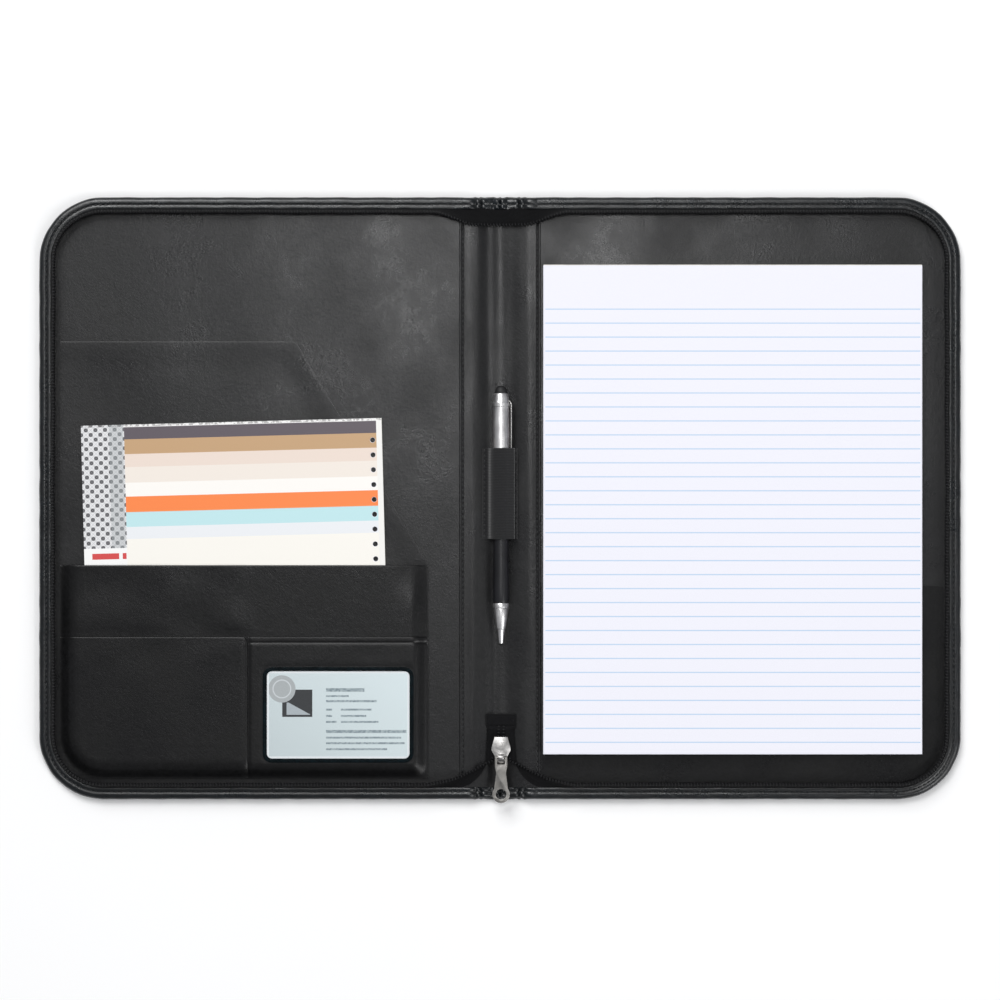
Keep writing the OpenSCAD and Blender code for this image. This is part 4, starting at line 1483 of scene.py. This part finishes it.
def softened(node, name, width, material, body):
    """Copy of a CAD node with its edges broken, to stand for it."""
    def cleaned(shell):
        bmesh.ops.remove_doubles(shell, verts=shell.verts, dist=2e-6)
        bmesh.ops.dissolve_limit(shell, angle_limit=radians(1), verts=shell.verts,
                                 edges=shell.edges)
        face_out(shell)

    mesh = bpy.data.objects[node].data.copy()
    reshaped(mesh, cleaned)
    guide = shown(name + "_rough", mesh)
    bevel = guide.modifiers.new("edges", "BEVEL")
    bevel.width, bevel.segments, bevel.limit_method = width * MM, 2, "ANGLE"
    bevel.angle_limit = radians(40)
    made = made_real(guide, name)
    made.shade_smooth()
    made.set_sharp_from_angle(angle=radians(32))
    piece = finished(shown(name, made), material)
    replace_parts(piece, node)
    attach(piece, body)


# ---- Contents -------------------------------------------------------------------


def pen_part(piece, material, node, body="pen"):
    """Finishes a piece of the pen, in place of a CAD node."""
    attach(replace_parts(finished(piece, material), node), body)


def make_pen():
    """Twist-action ballpoint: two barrels, a cone, a stylus dome and a clip."""
    top, join, end = high("pen_upper_barrel", Y), 0.0, high("pen_stylus", Y)
    foot, tip = low("pen_lower_barrel", Y), low("pen_cone", Y)
    barrel = [
        (join, 4.55), (join + 0.25, 4.8), (1.4, 4.8), (1.7, 4.95), (2.6, 4.95), (2.9, 4.82),
        (8, 4.84), (20, 4.88), (36, 4.86), (48, 4.78), (52.2, 4.7), (52.5, 4.95),
        (54.4, 4.95), (54.8, 4.68), (56.5, 4.5), (58.6, 4.2), (top - 0.5, 3.95), (top, 3.6),
        (top - 0.1, 3.42), (54, 3.4), (30, 3.6), (join + 9, 3.75), (join, 3.75)]
    dome = [(top - 6, 3.3), (top, 3.35), (top + 0.6, 3.4)] + [
        (top + 0.6 + (end - top - 0.6) * sin(a), 3.4 * cos(a) ** 0.8 + 0.01)
        for a in np.linspace(0.15, pi / 2, 10)]
    lower = [(8, 2.2), (8, 3.3), (7.6, 3.4), (-0.25, 3.4), (-0.3, 4.2), (-0.6, 4.4),
             (-8, 4.35), (-22, 4.35), (-36, 4.5), (-46, 4.65), (-54, 4.7), (foot + 1.5, 4.62),
             (foot, 4.45), (foot, 2.2)]
    cone = [(foot, 2.2), (foot, 4.45), (foot - 0.4, 4.6), (foot - 2.6, 4.5),
            (foot - 3.0, 4.1), (foot - 3.4, 4.2), (foot - 9, 3.5), (foot - 14.5, 2.75),
            (foot - 14.9, 2.35), (foot - 20, 1.65), (tip + 0.6, 1.3), (tip, 1.1), (tip, 0.98),
            (foot - 14, 1.0), (foot - 13.9, 2.2)]
    pen_part(lathe("pen_barrel_upper", barrel, wrap=True), "pen_metal",
             "pen_upper_barrel")
    pen_part(lathe("pen_stylus_dome", dome), "rubber", "pen_stylus")
    pen_part(lathe("pen_barrel_lower", lower, wrap=True), "pen_grip",
             "pen_lower_barrel", "pen_tip")
    pen_part(lathe("pen_tip_cone", cone, wrap=True), "pen_metal", "pen_cone",
             "pen_tip")
    pen_part(pen_clip(), "nickel", "pen_clip")


def pen_clip():
    """Spring clip, through rounded cross-sections from its root to its tip."""
    y0, y1 = low("pen_clip", Y), high("pen_clip", Y)
    rings = []
    for y, x, w, t in (  # place along the pen, distance from it, width, thickness
            (y1, 4.9, 2.6, 0.5), (y1 - 0.4, 5.4, 3.0, 0.9), (y1 - 1.4, 6.2, 3.2, 1.0),
            (y1 - 3.0, 6.45, 3.2, 0.95), (y1 - 8, 6.5, 3.0, 0.9), (y1 - 20, 6.45, 2.6, 0.9),
            (y0 + 8, 6.35, 2.3, 0.9), (y0 + 4, 6.2, 2.2, 1.2), (y0 + 2, 6.15, 2.1, 1.35),
            (y0 + 0.6, 6.3, 1.7, 1.0), (y0, 6.5, 1.0, 0.4)):
        rings.append([
            (x + t / 2 * np.sign(cos(a)) * abs(cos(a)) ** 0.6, y,
             PEN_Z + w / 2 * np.sign(sin(a)) * abs(sin(a)) ** 0.7)
            for a in np.linspace(0, 2 * pi, 20, endpoint=False)])
    return loft("pen_spring_clip", rings)


def make_pad():
    """Writing pad: its leaves, not quite aligned, and its ruled top leaf."""
    s = sizes()
    rng = np.random.default_rng(s["seed"])
    x0, x1 = low("pad_sheets", X), high("pad_sheets", X)
    y0, y1 = low("pad_sheets", Y), high("pad_sheets", Y)
    z0, z1 = low("pad_sheets", Z), high("pad_sheets", Z)
    count = s["leaves"]
    pitch = (z1 - z0) / (count + 1)
    verts, faces = [], []
    for i in range(count):
        dx, dy, turn = rng.uniform(-0.3, 0.3), rng.uniform(-0.35, 0.0), rng.uniform(-3e-4, 3e-4)
        a, b = z0 + pitch * i, z0 + pitch * (i + 0.88)
        first = len(verts)
        for z in (a, b):
            for x, y in ((x0, y0), (x1, y0), (x1, y1), (x0, y1)):
                verts.append((x + dx + turn * y, y + (dy if y == y0 else 0) - turn * x, z))
        faces += [tuple(first + k for k in face) for face in (
            (0, 3, 2, 1), (4, 5, 6, 7), (0, 1, 5, 4), (1, 2, 6, 5), (2, 3, 7, 6),
            (3, 0, 4, 7))]
    leaves = mesh_piece("pad_leaves", verts, faces)
    finished(leaves, "leaves")
    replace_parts(leaves, "pad_sheets")
    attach(leaves, "writing_pad")
    places = grid(spread(y0, y1, 6), lambda y: x0, lambda y: x1, spread(x0, x1, 6))

    def top(x, y):
        lift = 0.9 * smooth((x - x1 + 40) / 40) * smooth((y0 + 50 - y) / 50)
        lift = lift + 0.5 * smooth((x0 + 30 - x) / 30) * smooth((y0 + 40 - y) / 40)
        return z1 - 0.05 + lift + 0.03 * waves(x, y, 90, 71)

    sheet = slab("pad_top_leaf", places, top, lambda x, y: top(x, y) - 0.1)
    finished(sheet, "paper")
    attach(sheet, "writing_pad")


# ---- Frame finishes, metal and stage ------------------------------------------------


def dress_nodes():
    """Finishes for the CAD nodes that are shown as they are."""
    for node, name in (
            ("back_cover_board", "board"), ("front_cover_board", "board"),
            ("spine_board", "board"), ("pad_backing", "backing"), ("pad_glue_edge", "glue"),
            ("pen_refill", "refill"), ("notebook_cover", "notebook"),
            ("notebook_back", "backing"), ("notebook_pages", "leaves"),
            ("business_card", "card"), ("card_window", "film")):
        for slot in bpy.data.objects[node].material_slots:
            slot.material = finish(name)


def make_metal():
    """Zip slider and pull, from their CAD solids with the edges broken."""
    softened("zip_slider", "slider_body", 0.3, "nickel", "slider")
    softened("zip_pull", "slider_pull", 0.28, "pull", "pull")


FLOOR_REACH, FLOOR_LEVEL = 12.0, -0.0004
LAMPS = (  # name, place, size and power
    ("key", (-0.9, 2.0, 2.7), 1.9, 88.0),
    ("fill", (1.7, -1.5, 2.2), 1.6, 36.0),
    ("sheen", (0.03, 0.28, 2.0), 0.36, 4.6),
)
SKY, SKY_STRENGTH = (0.94, 0.96, 1.0, 1), 0.24
EYE, LENS, SENSOR = (0.0, -0.001, 2.2), 138.0, 36.0


def make_stage():
    """Pale floor, soft light from the upper left, and the camera straight above."""
    scene = bpy.context.scene
    mesh = bpy.data.meshes.new("floor")
    corners = [(x * FLOOR_REACH, y * FLOOR_REACH, FLOOR_LEVEL)
               for x, y in ((-1, -1), (1, -1), (1, 1), (-1, 1))]
    mesh.from_pydata(corners, [], [(0, 1, 2, 3)])
    mesh.materials.append(finish("floor"))
    shown("floor", mesh)
    for name, where, size, power in LAMPS:
        light = bpy.data.lights.new(name, "AREA")
        light.size, light.energy = size, power
        lamp = shown(name, light)
        lamp.location = where
        lamp.rotation_euler = (-Vector(where)).to_track_quat("-Z", "Y").to_euler()
        lamp.visible_camera = False
    world = bpy.data.worlds.new("studio")
    world.use_nodes = True
    background = world.node_tree.nodes["Background"]
    background.inputs["Color"].default_value = SKY
    background.inputs["Strength"].default_value = SKY_STRENGTH
    scene.world = world
    scene.view_settings.view_transform = "Standard"
    camera = bpy.data.cameras.new("camera")
    camera.sensor_width, camera.lens = SENSOR, LENS
    scene.camera = shown("camera", camera)
    scene.camera.location = EYE


# ---- Operators --------------------------------------------------------------------


class CASE_OT_finishes(bpy.types.Operator):
    """Make every material"""

    bl_idname = "case.finishes"
    bl_label = "Finishes"
    bl_options = {"REGISTER", "UNDO"}

    def execute(self, context):
        make_finishes()
        return {"FINISHED"}


class CASE_OT_edge(bpy.types.Operator):
    """Make the edge binding and its stitches"""

    bl_idname = "case.edge"
    bl_label = "Edge binding"
    bl_options = {"REGISTER", "UNDO"}

    def execute(self, context):
        for side in (1, -1):
            make_binding(side)
        return {"FINISHED"}


class CASE_OT_covers(bpy.types.Operator):
    """Make the outer panels and the spine leather"""

    bl_idname = "case.covers"
    bl_label = "Covers"
    bl_options = {"REGISTER", "UNDO"}

    def execute(self, context):
        make_back_panel()
        make_front_panels()
        for side in (1, -1):
            make_spine_leather(side)
        return {"FINISHED"}


class CASE_OT_linings(bpy.types.Operator):
    """Make the linings and the pad's slot"""

    bl_idname = "case.linings"
    bl_label = "Linings"
    bl_options = {"REGISTER", "UNDO"}

    def execute(self, context):
        for side in (1, -1):
            make_lining(side)
            make_spine_lining(side)
        make_pad_slot()
        return {"FINISHED"}


class CASE_OT_zip(bpy.types.Operator):
    """Make the zip's tapes, coils, end tab and slider"""

    bl_idname = "case.zip"
    bl_label = "Zip"
    bl_options = {"REGISTER", "UNDO"}

    def execute(self, context):
        for side in (1, -1):
            make_zip(side)
        make_end_tab()
        make_metal()
        return {"FINISHED"}


class CASE_OT_pockets(bpy.types.Operator):
    """Make the pockets inside the front cover"""

    bl_idname = "case.pockets"
    bl_label = "Pockets"
    bl_options = {"REGISTER", "UNDO"}

    def execute(self, context):
        make_document_pocket()
        make_middle_pocket()
        make_lower_pocket()
        make_card_pocket()
        return {"FINISHED"}


class CASE_OT_pen(bpy.types.Operator):
    """Make the pen and its elastic loop"""

    bl_idname = "case.pen"
    bl_label = "Pen"
    bl_options = {"REGISTER", "UNDO"}

    def execute(self, context):
        make_pen()
        make_pen_loop()
        return {"FINISHED"}


class CASE_OT_pad(bpy.types.Operator):
    """Make the pad's leaves"""

    bl_idname = "case.pad"
    bl_label = "Writing pad"
    bl_options = {"REGISTER", "UNDO"}

    def execute(self, context):
        make_pad()
        return {"FINISHED"}


class CASE_OT_nodes(bpy.types.Operator):
    """Give the CAD nodes that stay in view their finishes"""

    bl_idname = "case.nodes"
    bl_label = "Frame finishes"
    bl_options = {"REGISTER", "UNDO"}

    def execute(self, context):
        dress_nodes()
        return {"FINISHED"}


class CASE_OT_stage(bpy.types.Operator):
    """Make the floor, the lights and the camera"""

    bl_idname = "case.stage"
    bl_label = "Stage"
    bl_options = {"REGISTER", "UNDO"}

    def execute(self, context):
        make_stage()
        return {"FINISHED"}


OPERATORS = (
    CASE_OT_finishes, CASE_OT_edge, CASE_OT_covers, CASE_OT_linings, CASE_OT_zip,
    CASE_OT_pockets, CASE_OT_pen, CASE_OT_pad, CASE_OT_nodes, CASE_OT_stage)


class CASE_PT_build(bpy.types.Panel):
    """Lists the sizes, the colours and the steps that build the case."""

    bl_label = "Portfolio case"
    bl_idname = "CASE_PT_build"
    bl_space_type = "VIEW_3D"
    bl_region_type = "UI"
    bl_category = "Case"

    def draw(self, context):
        for group in (context.scene.case_sizes, context.scene.case_colours):
            for key in type(group).__annotations__:
                self.layout.prop(group, key)
        for step in OPERATORS:
            self.layout.operator(step.bl_idname)


CLASSES = (CaseSizes, CaseColours, *OPERATORS, CASE_PT_build)


def register():
    for item in CLASSES:
        bpy.utils.register_class(item)
    bpy.types.Scene.case_sizes = PointerProperty(type=CaseSizes)
    bpy.types.Scene.case_colours = PointerProperty(type=CaseColours)


def unregister():
    del bpy.types.Scene.case_colours
    del bpy.types.Scene.case_sizes
    for item in reversed(CLASSES):
        bpy.utils.unregister_class(item)


def main():
    """Builds the whole case."""
    register()
    for step in OPERATORS:
        group, name = step.bl_idname.split(".")
        getattr(getattr(bpy.ops, group), name)()


if __name__ == "__main__":
    main()
